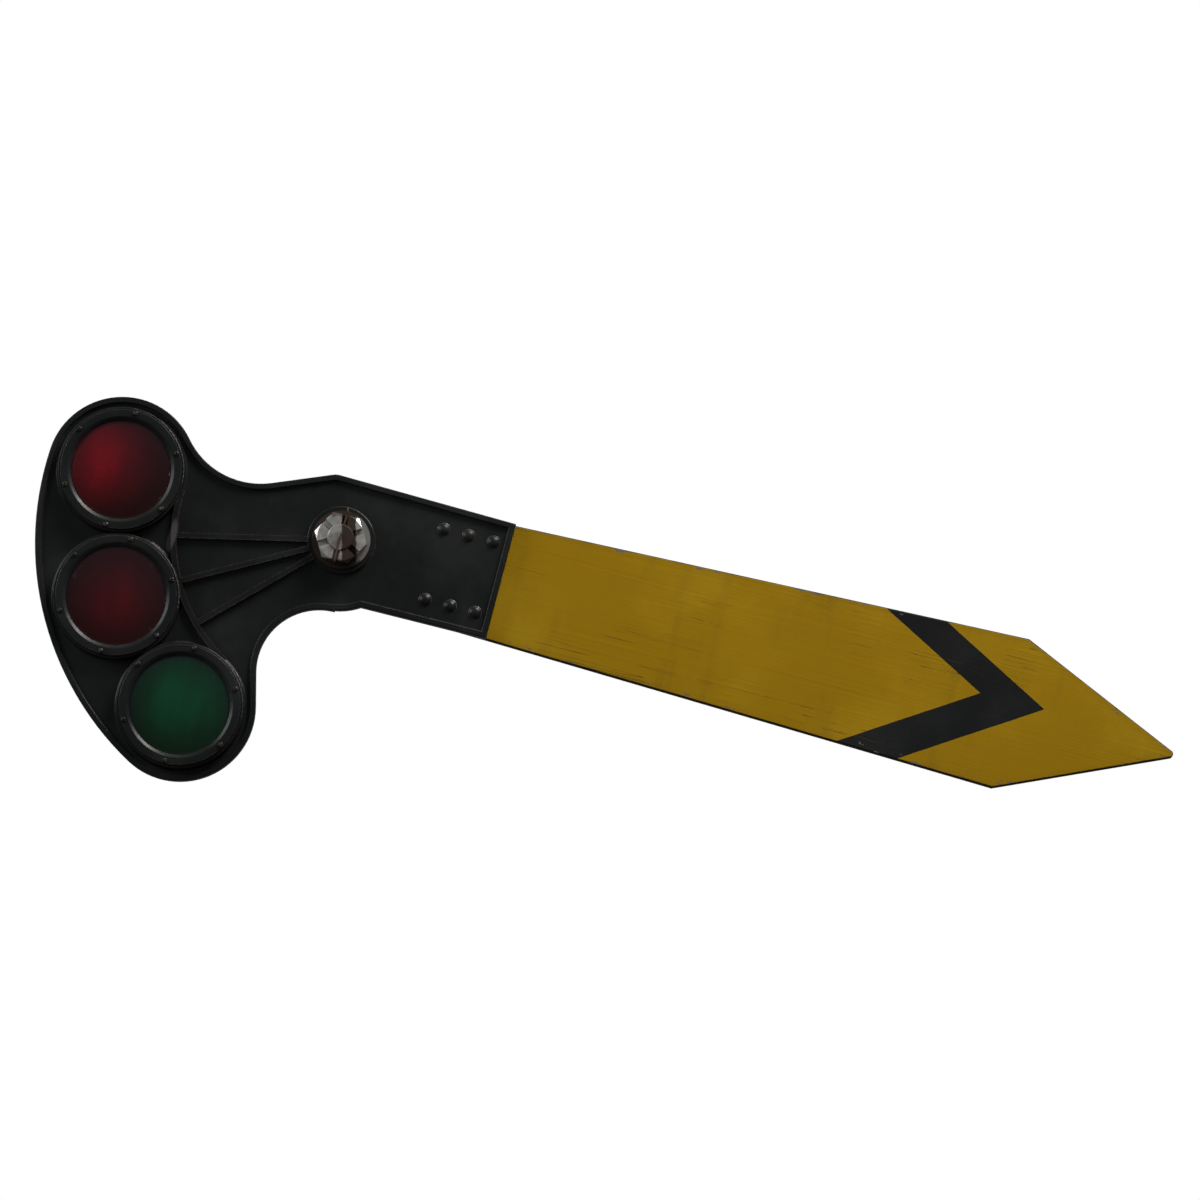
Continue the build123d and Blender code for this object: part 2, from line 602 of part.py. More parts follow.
def hex_nut(flats, bore, back, thickness):
    """A hexagon nut on the pivot axis, with its corners turned off at both ends."""
    corner = flats / 3**0.5
    turn = (corner - flats / 2) * NUT_CORNER_TURN
    blank = turned(
        (0, back), (flats / 2, back), (corner, back + turn),
        (corner, back + thickness - turn), (flats / 2, back + thickness), (0, back + thickness),
    )
    return (hexagon(flats, back, thickness) & blank) - rod(bore, back, thickness)


def blade_bolt_nuts():
    back = WASHER_BACK - BLADE_BOLT_NUT
    nut = hex_nut(BLADE_BOLT_NUT_FLATS, BLADE_BOLT_RADIUS + SNUG, back, BLADE_BOLT_NUT)
    return [Pos(x, 0, z) * nut for x, z in blade_bolt_places()]


# ---- Shaft and hub ----
def semaphore_shaft():
    """Journal at the back, keyed seat for crank and spectacle, threaded front end."""
    shaft = turned(
        (0, SHAFT_BACK), (JOURNAL_RADIUS - SHAFT_CHAMFER, SHAFT_BACK),
        (JOURNAL_RADIUS, SHAFT_BACK + SHAFT_CHAMFER),
        (JOURNAL_RADIUS, CRANK_BACK), (SEAT_SHAFT_RADIUS, CRANK_BACK),
        (SEAT_SHAFT_RADIUS, HUB_FRONT - THREAD_START), (THREAD_RADIUS, HUB_FRONT - THREAD_START),
        (THREAD_RADIUS, SHAFT_FRONT - SHAFT_CHAMFER),
        (THREAD_RADIUS - SHAFT_CHAMFER, SHAFT_FRONT), (0, SHAFT_FRONT),
    )
    shaft -= keyway(CRANK_BACK + KEY_END_GAP / 2, CRANK_HUB - KEY_END_GAP)
    shaft -= keyway(CRANK_FRONT + KEY_END_GAP / 2, HUB_FRONT - CRANK_FRONT - 2 * KEY_END_GAP)
    shaft -= Pos(0, -COTTER_DEPTH, 0) * Cylinder(COTTER_HOLE_RADIUS, 3 * THREAD_RADIUS)
    return shaft - Pos(0, -COLLAR_MIDDLE, 0) * Cylinder(
        COLLAR_PIN_RADIUS + SNUG, 3 * JOURNAL_RADIUS
    )


def key(back, length):
    middle = (KEY_TOP + KEY_BOTTOM) / 2
    return Pos(0, -back - length / 2, middle) * Box(KEY_WIDTH, length, KEY_TOP - KEY_BOTTOM)


def castle_nut():
    """Large hexagon nut with six slots across its front for the cotter pin."""
    nut = hex_nut(NUT_FLATS, THREAD_RADIUS + SNUG, NUT_BACK, NUT)
    for turn in range(3):
        slot = Box(2 * NUT_FLATS, NUT_SLOT_DEPTH, NUT_SLOT)
        slot = Rot(0, 90 + 60 * turn, 0) * slot
        nut -= Pos(0, -NUT_FRONT + NUT_SLOT_DEPTH / 2, 0) * slot
    return nut


def cotter_pin():
    """Split pin: an eye above the nut, one leg folded back, one over the shaft's end."""
    out = NUT_FLATS / 2 + COTTER_WIRE + COTTER_OUT
    front_leg = COTTER_DEPTH + COTTER_LEG_OFFSET
    back_leg = COTTER_DEPTH - COTTER_LEG_OFFSET
    over_end = SHAFT_FRONT + COTTER_WIRE + COTTER_OUT
    front_path = FilletPolyline(
        (0, -front_leg, out), (0, -front_leg, -out), (0, -over_end, -out),
        (0, -over_end, COTTER_OVERLAP), radius=COTTER_BEND,
    )
    back_path = FilletPolyline(
        (0, -back_leg, out), (0, -back_leg, -out), (0, -back_leg + COTTER_TAIL, -out),
        radius=COTTER_BEND,
    )
    pin = Pos(0, -COTTER_DEPTH, out + COTTER_EYE_RADIUS) * Rot(0, 90, 0) * Torus(
        COTTER_EYE_RADIUS, COTTER_WIRE
    )
    for path in (front_path, back_path):
        section = Plane(origin=path @ 0, z_dir=path % 0) * Circle(COTTER_WIRE)
        pin += sweep(section, path=path)
    return pin


# ---- Crank ----
def operating_crank():
    """Keyed to the shaft behind the spectacle; the rod that works the arm pins to its eye."""
    eye = polar(CRANK_THROW, CRANK_ANGLE)
    web = Pos(eye[0] / 2, eye[1] / 2) * Rot(0, 0, CRANK_ANGLE) * Rectangle(
        CRANK_THROW, 2 * CRANK_HALF_WIDTH
    )
    crank = slab(web, CRANK_MIDDLE - CRANK_WEB / 2, CRANK_WEB)
    crank += rod(CRANK_HUB_RADIUS, CRANK_BACK, CRANK_HUB)
    crank += rod(CRANK_EYE_RADIUS, CRANK_MIDDLE - CRANK_EYE / 2, CRANK_EYE, *eye)
    crank -= rod(SEAT_SHAFT_RADIUS + SNUG, CRANK_BACK, CRANK_HUB)
    crank -= keyway(CRANK_BACK, CRANK_HUB)
    return crank - rod(CRANK_BUSH_RADIUS + SNUG, CRANK_MIDDLE - CRANK_EYE / 2, CRANK_EYE, *eye)


def crank_eye_bush():
    eye = polar(CRANK_THROW, CRANK_ANGLE)
    back = CRANK_MIDDLE - CRANK_EYE / 2
    return tube(CRANK_PIN_BORE_RADIUS, CRANK_BUSH_RADIUS, back, CRANK_EYE, *eye)


# ---- Bearing ----
def stop_frame(side):
    """Where the crank meets a stop: side 1 is Stop, side -1 is Clear.

    Local X runs along the crank, local Y away from it through the stop screw.
    """
    angle = CRANK_ANGLE if side > 0 else CRANK_ANGLE - TRAVEL
    along = polar(1, angle)
    away = polar(1, angle + 90 * side)
    return along, away


def stop_point(side, off):
    """A point on a stop screw's axis, at a distance from the middle of the crank."""
    along, away = stop_frame(side)
    return tuple(STOP_REACH * a + off * b for a, b in zip(along, away))


def stop_rod(side, radius, start, length):
    """A cylinder on a stop screw's axis, from a distance off the crank's middle."""
    x, z = stop_point(side, start)
    _, away = stop_frame(side)
    plane = Plane(origin=(x, -CRANK_MIDDLE, z), z_dir=(away[0], 0, away[1]))
    return extrude(plane * Circle(radius), length)


def stop_hexagon(side, flats, start, length):
    x, z = stop_point(side, start)
    _, away = stop_frame(side)
    plane = Plane(origin=(x, -CRANK_MIDDLE, z), z_dir=(away[0], 0, away[1]))
    return extrude(plane * RegularPolygon(flats / 2, 6, major_radius=False), length)


def stop_lug(side):
    """Horn on the barrel, and the lug at its end that holds a stop screw over the crank."""
    along, _ = stop_frame(side)
    x, z = stop_point(side, (LUG_START + LUG_END) / 2)
    crank_angle = degrees(atan2(along[1], along[0]))
    lug = Pos(x, z) * Rot(0, 0, crank_angle) * Rectangle(STOP_LUG_LENGTH, STOP_LUG_WIDTH)
    horn_angle = degrees(atan2(z, x))
    reach = hypot(x, z)
    horn = Pos(x / 2, z / 2) * Rot(0, 0, horn_angle) * Rectangle(reach, 2 * STOP_HORN_HALF)
    lug_front = CRANK_MIDDLE + CRANK_WEB / 2 + STOP_LUG_OVERHANG
    horn_back = BARREL_FRONT - STOP_HORN
    return slab(lug, horn_back, lug_front - horn_back) + slab(horn, horn_back, STOP_HORN)


def bearing_housing():
    """Flanged barrel with gussets, stop lugs and a boss for the grease nipple."""
    housing = rod(BARREL_RADIUS, 0, BARREL_FRONT)
    flange = rod(FLANGE_RADIUS, 0, FLANGE)
    housing += fillet(flange.faces().sort_by(Axis.Y)[0].edges(), EDGE_ROUND)
    gusset = make_face(
        Polyline(
            (0, -FLANGE), (FLANGE_RADIUS - GUSSET_MARGIN, -FLANGE),
            (BARREL_RADIUS, -FLANGE - GUSSET_REACH), (0, -FLANGE - GUSSET_REACH), close=True,
        )
    )
    gusset = Pos(0, 0, -GUSSET / 2) * extrude(gusset, GUSSET)
    for turn in range(FLANGE_BOLTS):
        housing += Rot(0, 90 * turn, 0) * gusset
    for side in (1, -1):
        housing += stop_lug(side)
    upright = (Align.CENTER, Align.CENTER, Align.MIN)
    boss_top = BARREL_RADIUS + GREASE_BOSS
    grease = Pos(0, -CAVITY_MIDDLE, 0)
    housing += grease * Cylinder(2 * GREASE_NIPPLE_RADIUS, boss_top, align=upright)
    housing -= rod(BUSH_OUTER_RADIUS + SNUG, 0, BARREL_FRONT)
    housing -= rod(RECESS_RADIUS, 0, RECESS_DEPTH)
    housing -= rod(COVER_RADIUS + RUNNING, 0, COVER_RECESS)
    housing -= rod(GREASE_CAVITY_RADIUS, CAVITY_BACK, CAVITY_FRONT - CAVITY_BACK)
    housing -= grease * Cylinder(GREASE_NIPPLE_RADIUS / 2 + SNUG, boss_top, align=upright)
    for side in (1, -1):
        start = LUG_START - LUG_BORE_OVERRUN
        length = STOP_LUG_WIDTH + 2 * LUG_BORE_OVERRUN
        housing -= stop_rod(side, STOP_SCREW_RADIUS + SNUG, start, length)
    for place in around(FLANGE_BOLTS, FLANGE_BOLT_PITCH_RADIUS, start=45):
        housing -= rod(FLANGE_BOLT_HOLE_RADIUS, 0, FLANGE, *place)
    for place in around(COVER_SCREWS, COVER_SCREW_PITCH_RADIUS, start=0):
        housing -= rod(COVER_SCREW_RADIUS + SNUG, 0, COVER_SCREW_DEPTH, *place)
    return housing


def front_bush():
    inner = JOURNAL_RADIUS + RUNNING
    body = tube(inner, BUSH_OUTER_RADIUS, CAVITY_FRONT, BUSH_LENGTH)
    return body + tube(inner, BUSH_FLANGE_RADIUS, BARREL_FRONT, BUSH_FLANGE)


def rear_bush():
    inner = JOURNAL_RADIUS + RUNNING
    body = tube(inner, BUSH_OUTER_RADIUS, RECESS_DEPTH, BUSH_LENGTH)
    return body + tube(inner, BUSH_FLANGE_RADIUS, RECESS_DEPTH - BUSH_FLANGE, BUSH_FLANGE)


def felt_seal():
    inner = BUSH_FLANGE_RADIUS + RUNNING
    return tube(inner, inner + FELT_WIDTH, BARREL_FRONT, BUSH_FLANGE)


def thrust_collar():
    collar = tube(JOURNAL_RADIUS + SNUG, COLLAR_RADIUS, SHAFT_BACK, COLLAR)
    return collar - Pos(0, -COLLAR_MIDDLE, 0) * Cylinder(
        COLLAR_PIN_RADIUS + SNUG, 3 * COLLAR_RADIUS
    )


def collar_pin():
    return Pos(0, -COLLAR_MIDDLE, 0) * Cylinder(COLLAR_PIN_RADIUS, 2 * COLLAR_RADIUS - EDGE_ROUND)


def rear_cover():
    back = COVER_RECESS - COVER
    cover = rod(COVER_RADIUS, back, COVER)
    sink = 2 * (COVER_SCREW_RADIUS + RUNNING)
    for x, z in around(COVER_SCREWS, COVER_SCREW_PITCH_RADIUS):
        cover -= rod(COVER_SCREW_RADIUS + RUNNING, back, COVER, x, z)
        cover -= Pos(x, 0, z) * turned((0, back), (sink, back), (0, back + sink))
    return cover


def cover_screws():
    """Countersunk screws, heads flush with the cover's back."""
    back = COVER_RECESS - COVER
    head = 2 * COVER_SCREW_RADIUS
    screw = turned(
        (0, back), (head, back), (COVER_SCREW_RADIUS, back + COVER_SCREW_RADIUS),
        (COVER_SCREW_RADIUS, back + COVER_SCREW_LENGTH), (0, back + COVER_SCREW_LENGTH),
    )
    return [Pos(x, 0, z) * screw for x, z in around(COVER_SCREWS, COVER_SCREW_PITCH_RADIUS)]


def grease_nipple():
    """Ball-ended nipple screwed into the boss on top of the barrel."""
    upright = (Align.CENTER, Align.CENTER, Align.MIN)
    shank = Cylinder(GREASE_NIPPLE_RADIUS / 2, 2 * GREASE_NIPPLE_NECK, align=upright)
    nipple = extrude(RegularPolygon(GREASE_NIPPLE_HEXAGON, 6), GREASE_NIPPLE_COLLAR)
    nipple += Pos(0, 0, -GREASE_NIPPLE_NECK) * shank
    nipple += Pos(0, 0, GREASE_NIPPLE_NECK) * Sphere(GREASE_NIPPLE_BALL)
    return Pos(0, -CAVITY_MIDDLE, BARREL_RADIUS + GREASE_BOSS) * nipple


def stop_screws():
    """One screw for Stop and one for Clear; each tip waits just off the crank."""
    tip = CRANK_HALF_WIDTH + STOP_GAP
    return [stop_rod(side, STOP_SCREW_RADIUS, tip, STOP_SCREW_LENGTH) for side in (1, -1)]


def stop_lock_nuts():
    return [
        stop_hexagon(side, STOP_NUT_FLATS, LUG_END, STOP_NUT)
        - stop_rod(side, STOP_SCREW_RADIUS + SNUG, LUG_END, STOP_NUT)
        for side in (1, -1)
    ]


# ---- Everything, one node each ----
nodes = {
    "spectacle_casting": spectacle_casting(),
    "blade": blade(),
    "blade_clamp_plate": blade_clamp_plate(),
    "blade_bolts": blade_bolts(),
    "blade_bolt_washers": blade_bolt_washers(),
    "blade_bolt_nuts": blade_bolt_nuts(),
    "lens_ring_screws": ring_screws(),
    "semaphore_shaft": semaphore_shaft(),
    "crank_key": key(CRANK_BACK + KEY_END_GAP, CRANK_HUB - 2 * KEY_END_GAP),
    "hub_key": key(CRANK_FRONT + KEY_END_GAP, HUB_FRONT - CRANK_FRONT - 3 * KEY_END_GAP),
    "hub_washer": tube(THREAD_RADIUS + KEY_CLEARANCE, HUB_WASHER_RADIUS, HUB_FRONT, HUB_WASHER),
    "castle_nut": castle_nut(),
    "cotter_pin": cotter_pin(),
    "operating_crank": operating_crank(),
    "crank_eye_bush": crank_eye_bush(),
    "thrust_collar": thrust_collar(),
    "collar_pin": collar_pin(),
    "bearing_housing": bearing_housing(),
    "front_bush": front_bush(),
    "rear_bush": rear_bush(),
    "felt_seal": felt_seal(),
    "rear_cover": rear_cover(),
    "cover_screws": cover_screws(),
    "grease_nipple": grease_nipple(),
    "stop_screws": stop_screws(),
    "stop_lock_nuts": stop_lock_nuts(),
}
for name, centre in zip(LENS_NAMES, LENS_CENTRES):
    nodes[name + "_roundel"] = roundel(*centre)
    nodes[name + "_gasket"] = gasket(*centre)
    nodes[name + "_retaining_ring"] = retaining_ring(*centre)

os.makedirs("parts", exist_ok=True)
for name, shape in nodes.items():
    whole = Compound(children=shape) if isinstance(shape, list) else shape
    export_step(whole, "parts/" + name + ".step")
    print(name, round(whole.volume))
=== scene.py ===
# %% [markdown]
# # A railway semaphore arm
#
# The object is the arm of a mechanical railway signal: an iron casting called the spectacle, which
# carries three coloured glasses, a painted wooden blade, and the shaft and bearing it turns on.
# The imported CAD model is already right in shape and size, so it is the fixed frame of this scene.
# Everything below is in its coordinates, in metres: the pivot axis is the Y axis, the front of the
# arm faces -Y, the blade points along +X and Z is up.
#
# Loading comes first, because most places below are read from the loaded nodes.

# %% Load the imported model
from math import cos, pi, radians, sin, tan

import bmesh
import bpy
import numpy as np
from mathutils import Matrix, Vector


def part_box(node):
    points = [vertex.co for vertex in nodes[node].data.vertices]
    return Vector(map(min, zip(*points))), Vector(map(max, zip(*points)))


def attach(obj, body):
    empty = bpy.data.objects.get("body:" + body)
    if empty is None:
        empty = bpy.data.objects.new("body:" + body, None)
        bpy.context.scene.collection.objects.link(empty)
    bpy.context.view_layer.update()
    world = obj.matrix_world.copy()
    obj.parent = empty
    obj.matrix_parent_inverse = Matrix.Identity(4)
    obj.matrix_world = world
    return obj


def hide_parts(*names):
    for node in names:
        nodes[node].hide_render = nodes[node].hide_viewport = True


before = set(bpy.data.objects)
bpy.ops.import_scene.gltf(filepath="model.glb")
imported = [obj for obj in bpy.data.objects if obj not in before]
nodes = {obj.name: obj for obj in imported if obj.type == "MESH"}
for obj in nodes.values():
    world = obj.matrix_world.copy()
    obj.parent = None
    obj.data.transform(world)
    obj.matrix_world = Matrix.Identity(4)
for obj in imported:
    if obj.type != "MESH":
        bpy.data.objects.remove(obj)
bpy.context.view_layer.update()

# %% [markdown]
# ## The camera
#
# The arm is seen from the front, from a little below, and from far away, so there is hardly any
# perspective. A long lens at a distance gives that. The camera could be tilted by three rotation
# angles, but three unit vectors are easier to read: which way is right in the picture, which way
# is back towards the camera, and their cross product, which is up. The picture is also rolled, so
# that the level arm droops across it.

# %% Camera
ROLL = radians(14.5)
RISE = radians(8.0)              # of the line of sight
DISTANCE = 12.0
LENS = 220.2                     # millimetres, like the sensor's width
SENSOR = 36.0
FURTHEST = 500.0                 # seen, so that the floor reaches the horizon
TARGET = np.array([0.4345, -0.16, 0.0112])

right = np.array([cos(ROLL), 0.0, sin(ROLL)])
back = np.array([sin(ROLL) * sin(RISE), -cos(RISE), -cos(ROLL) * sin(RISE)])
up = np.cross(back, right)

camera_data = bpy.data.cameras.new("camera")
camera_data.lens = LENS
camera_data.sensor_width = SENSOR
camera_data.clip_end = FURTHEST
camera = bpy.data.objects.new("camera", camera_data)
bpy.context.scene.collection.objects.link(camera)
placed = np.eye(4)
placed[:3, :3] = np.stack([right, up, back], axis=1)
placed[:3, 3] = TARGET + DISTANCE * back
camera.matrix_world = placed.T.tolist()
bpy.context.scene.camera = camera
print("camera at", placed[:3, 3].round(3), "sees", round(SENSOR / LENS * DISTANCE, 3), "m across")

# %% [markdown]
# ## Shader maths in Python
#
# A finish is a small graph of nodes. Built one node at a time, the graph hides the formula that it
# stands for. Here a class wraps a socket and overloads the operators, so that a formula such as
# `1 - mask * 0.5` adds the Math nodes by itself. Colours never go through Math nodes, which would
# turn them grey: they are mixed with Mix nodes instead. Every other node comes from `add`.

# %% Values and finishes
class Value:
    """An output socket that takes part in sums; each operator adds one Math node."""

    def __init__(self, finish, socket):
        self.finish = finish
        self.socket = socket

    def math(self, operation, *others):
        inputs = dict(enumerate([self, *others]))
        return self.finish.add("ShaderNodeMath", {"operation": operation}, inputs)

    def __add__(self, other):
        return self.math("ADD", other)

    def __sub__(self, other):
        return self.math("SUBTRACT", other)

    def __mul__(self, other):
        return self.math("MULTIPLY", other)

    def __rsub__(self, other):
        return (self * -1.0) + other

    __radd__ = __add__
    __rmul__ = __mul__

    def __abs__(self):
        return self.math("ABSOLUTE")

    def lesser(self, other):
        return self.math("MINIMUM", other)

    def greater(self, other):
        return self.math("MAXIMUM", other)

    def ramp(self, low, high):
        """0 below low, 1 above high, and a smooth S between them; low above high turns it round."""
        settings = {"interpolation_type": "SMOOTHSTEP"}
        limits = {"Value": self, "From Min": low, "From Max": high}
        return self.finish.add("ShaderNodeMapRange", settings, limits)


class Finish:
    """A material, or the world, while its nodes are being added."""

    def __init__(self, owner):
        owner.use_nodes = True
        self.owner = owner
        self.tree = owner.node_tree
        self.tree.nodes.clear()

    def add(self, kind, settings=None, inputs=None, output=0):
        """A node: its settings come first, then its inputs, each a number, a tuple or a Value.

        What comes back is the chosen output, or nothing from a node that ends the graph.
        """
        node = self.tree.nodes.new(kind)
        for key, setting in (settings or {}).items():
            setattr(node, key, setting)
        for key, given in (inputs or {}).items():
            if isinstance(given, Value):
                self.tree.links.new(given.socket, node.inputs[key])
            else:
                node.inputs[key].default_value = given
        return Value(self, node.outputs[output]) if len(node.outputs) else None

    def place(self):
        return self.add("ShaderNodeTexCoord", output="Object")

    def axes(self, vector):
        """The three parts of a vector, as numbers."""
        parts = self.add("ShaderNodeSeparateXYZ", inputs={"Vector": vector})
        outputs = parts.socket.node.outputs
        return [Value(self, outputs[axis]) for axis in "XYZ"]

    def facing(self):
        """The surface's own direction, which turns with the piece."""
        return self.axes(self.add("ShaderNodeTexCoord", output="Normal"))

    def noise(self, scale, stretch=(1.0, 1.0, 1.0), detail=4.0, roughness=0.55, shift=0.0):
        """Clouds from 0 to 1. A small stretch along an axis draws them out along it."""
        moved = self.add(
            "ShaderNodeMapping",
            inputs={"Vector": self.place(), "Scale": stretch, "Location": (shift, shift, shift)},
        )
        inputs = {"Vector": moved, "Scale": scale, "Detail": detail, "Roughness": roughness}
        return self.add("ShaderNodeTexNoise", inputs=inputs)

    def cells(self, scale, output="Distance"):
        """Cells round scattered points: the distance to the nearest, or a colour for each."""
        inputs = {"Vector": self.place(), "Scale": scale}
        return self.add("ShaderNodeTexVoronoi", inputs=inputs, output=output)

    def edge(self, width):
        """0 on flats and more at edges: how far a normal rounded over a width leans away."""
        rounded = self.add("ShaderNodeBevel", {"samples": 4}, {"Radius": width})
        flat = self.add("ShaderNodeNewGeometry", output="Normal")
        inputs = {0: rounded, 1: flat}
        return 1.0 - self.add("ShaderNodeVectorMath", {"operation": "DOT_PRODUCT"}, inputs, "Value")

    def mix(self, share, first, second):
        """A colour between two others."""
        return self.add("ShaderNodeMix", {"data_type": "RGBA"}, {0: share, 6: first, 7: second}, 2)

    def bump(self, height, depth, over=None):
        """A normal bent by a height from 0 to 1, which stands for a depth in metres."""
        inputs = {"Height": height, "Distance": depth}
        if over is not None:
            inputs["Normal"] = over
        return self.add("ShaderNodeBump", inputs=inputs)

    def surface(self, **sockets):
        """Ends the material in one Principled shader; the names are its sockets' names."""
        inputs = {name.replace("_", " "): given for name, given in sockets.items()}
        shader = self.add("ShaderNodeBsdfPrincipled", inputs=inputs)
        self.add("ShaderNodeOutputMaterial", inputs={"Surface": shader})
        return self.owner


def material(name):
    return Finish(bpy.data.materials.new(name))


def colour(red, green, blue):
    return (red, green, blue, 1.0)


print("operators on sockets ready")

# %% [markdown]
# ## Light, sky and floor
#
# The arm hangs in a bright, even surround, but it looks dark, so its front can't be reflecting
# that surround. A studio does the same with black cards: the backdrop is white, and what stands
# in front of the object is dim. The sky here is white where the camera looks straight at it, and
# for every other ray it is a soft grey that is a little bluer above and warmer below. Large area
# lights then give the shapes their highlights. The floor is pale and lies well under the arm. It
# glows a little of its own, because so dim a sky would leave it grey, and it is hidden from every
# ray that left a surface, so that its glow doesn't reach the arm.

# %% Sky, lights and floor
SKY_ABOVE = colour(0.17, 0.19, 0.22)
SKY_BELOW = colour(0.11, 0.10, 0.09)
BACKDROP = colour(1.0, 1.0, 1.0)
FLOOR_HEIGHT = -4.5
FLOOR_RADIUS = 140.0
FLOOR_GLOW = 0.6
FLOOR_DARK = colour(0.74, 0.74, 0.73)
FLOOR_LIGHT = colour(0.8, 0.8, 0.79)
SKY_TURNS = (-0.6, 0.8)          # heights between which the sky changes colour
ARM_MIDDLE = (0.4, -0.15, 0.0)
WARM = (1.0, 0.98, 0.95)
COOL = (0.95, 0.98, 1.0)

sky = Finish(bpy.data.worlds.new("sky"))
bpy.context.scene.world = sky.owner
height = sky.axes(sky.add("ShaderNodeTexCoord", output="Generated"))[2]
glow = sky.mix(height.ramp(*SKY_TURNS), SKY_BELOW, SKY_ABOVE)
seen = sky.add("ShaderNodeLightPath", output="Is Camera Ray")
light = sky.add("ShaderNodeBackground", inputs={"Color": sky.mix(seen, glow, BACKDROP)})
sky.add("ShaderNodeOutputWorld", inputs={"Surface": light})


def softbox(name, place, size, power, tint=(1.0, 1.0, 1.0)):
    """A square area light: its -Z axis points from its place to the middle of the arm."""
    lamp = bpy.data.lights.new(name, "AREA")
    lamp.size = size
    lamp.energy = power
    lamp.color = tint
    box = bpy.data.objects.new(name, lamp)
    bpy.context.scene.collection.objects.link(box)
    away = np.array(place) - np.array(ARM_MIDDLE)
    away = away / np.linalg.norm(away)
    side = np.cross((0.0, 0.0, 1.0), away)
    side = side / np.linalg.norm(side)
    turned_to = np.eye(4)
    turned_to[:3, :3] = np.stack([side, np.cross(away, side), away], axis=1)
    turned_to[:3, 3] = place
    box.matrix_world = turned_to.T.tolist()
    print(name, "at", place, "gives", power, "W")


softbox("key_light", (1.5, -2.1, 4.3), 2.0, 330.0, WARM)
softbox("fill_light", (-4.4, -2.0, 0.8), 2.4, 120.0, COOL)
softbox("back_light", (-0.6, 3.8, 2.6), 3.0, 140.0)

turn = np.linspace(0, 2 * pi, 96, endpoint=False)
rim = np.stack([FLOOR_RADIUS * np.cos(turn), FLOOR_RADIUS * np.sin(turn)], -1)
floor_mesh = bpy.data.meshes.new("floor")
floor_points = np.column_stack([rim, np.full(len(rim), FLOOR_HEIGHT)])
floor_mesh.from_pydata(floor_points.tolist(), [], [list(range(len(rim)))])
floor = bpy.data.objects.new("floor", floor_mesh)
bpy.context.scene.collection.objects.link(floor)
pale = material("pale_floor")
pale_tone = pale.mix(pale.noise(0.8), FLOOR_DARK, FLOOR_LIGHT)
floor_mesh.materials.append(
    pale.surface(
        Base_Color=pale_tone, Emission_Color=pale_tone, Emission_Strength=FLOOR_GLOW, Roughness=0.9
    )
)
floor.visible_diffuse = floor.visible_glossy = floor.visible_transmission = False
bpy.context.scene.view_settings.view_transform = "Standard"
print("floor at", FLOOR_HEIGHT, "m")

# %% [markdown]
# ## Surfaces from formulas
#
# A turned part, such as a ring, a glass or a bolt, is a profile carried round an axis. A modelling
# tool would spin a curve. Here the same thing is one formula on a grid of points: rows are the
# profile's points and columns are the turns. The ends of the grid meet, so the doubles are merged
# and the normals are worked out again, after which the shell is closed and faces outwards.

# %% Grids, profiles and turning
CREASE = radians(32.0)           # edges that bend more than this stay sharp
MERGE = 1e-6                     # how near two points are to be one
SLIVER = 1e-7                    # the shortest edge that is kept


def piece(name, grids, finish, body, stands_for):
    """One object from grids of points [row, column, xyz]; quads join neighbours in each grid."""
    points = np.concatenate([grid.reshape(-1, 3) for grid in grids])
    faces = []
    first = 0
    for grid in grids:
        rows, columns = grid.shape[:2]
        index = first + np.arange(rows * columns).reshape(rows, columns)
        across = np.roll(index, -1, axis=1)
        quads = np.stack([index[:-1], across[:-1], across[1:], index[1:]], axis=-1)
        faces.append(quads.reshape(-1, 4))
        first += rows * columns
    mesh = bpy.data.meshes.new(name)
    mesh.from_pydata(points.tolist(), [], np.concatenate(faces).tolist())
    return finished(name, mesh, finish, body, stands_for)


def finished(name, mesh, finish, body, stands_for):
    """Closes a mesh, turns its faces outwards, shades it, and sets what it rides on and replaces."""
    work = bmesh.new()
    work.from_mesh(mesh)
    bmesh.ops.remove_doubles(work, verts=work.verts, dist=MERGE)
    bmesh.ops.dissolve_degenerate(work, edges=work.edges, dist=SLIVER)
    bmesh.ops.recalc_face_normals(work, faces=work.faces)
    open_edges = sum(not edge.is_manifold for edge in work.edges)
    work.to_mesh(mesh)
    work.free()
    mesh.shade_smooth()
    mesh.set_sharp_from_angle(angle=CREASE)
    mesh.materials.append(finish)
    made = bpy.data.objects.new(name, mesh)
    bpy.context.scene.collection.objects.link(made)
    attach(made, body)
    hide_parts(stands_for)
    print(name, "faces", len(mesh.polygons), "open edges", open_edges)
    return made


def softened(corners, radii, steps=5):
    """A closed profile with rounded corners.

    Each corner C gives a curve (1-t)^2 A + 2t(1-t) C + t^2 B, where A and B lie at its radius
    from C on its two sides.
    """
    corner = np.array(corners, float)
    radius = np.broadcast_to(np.array(radii, float), len(corner))[:, None]
    before = np.roll(corner, 1, axis=0) - corner
    after = np.roll(corner, -1, axis=0) - corner
    start = corner + radius * before / np.linalg.norm(before, axis=1, keepdims=True)
    end = corner + radius * after / np.linalg.norm(after, axis=1, keepdims=True)
    t = np.linspace(0, 1, steps)[:, None, None]
    curve = (1 - t) ** 2 * start + 2 * t * (1 - t) * corner + t**2 * end
    profile = curve.transpose(1, 0, 2).reshape(-1, 2)
    return np.vstack([profile, profile[:1]])


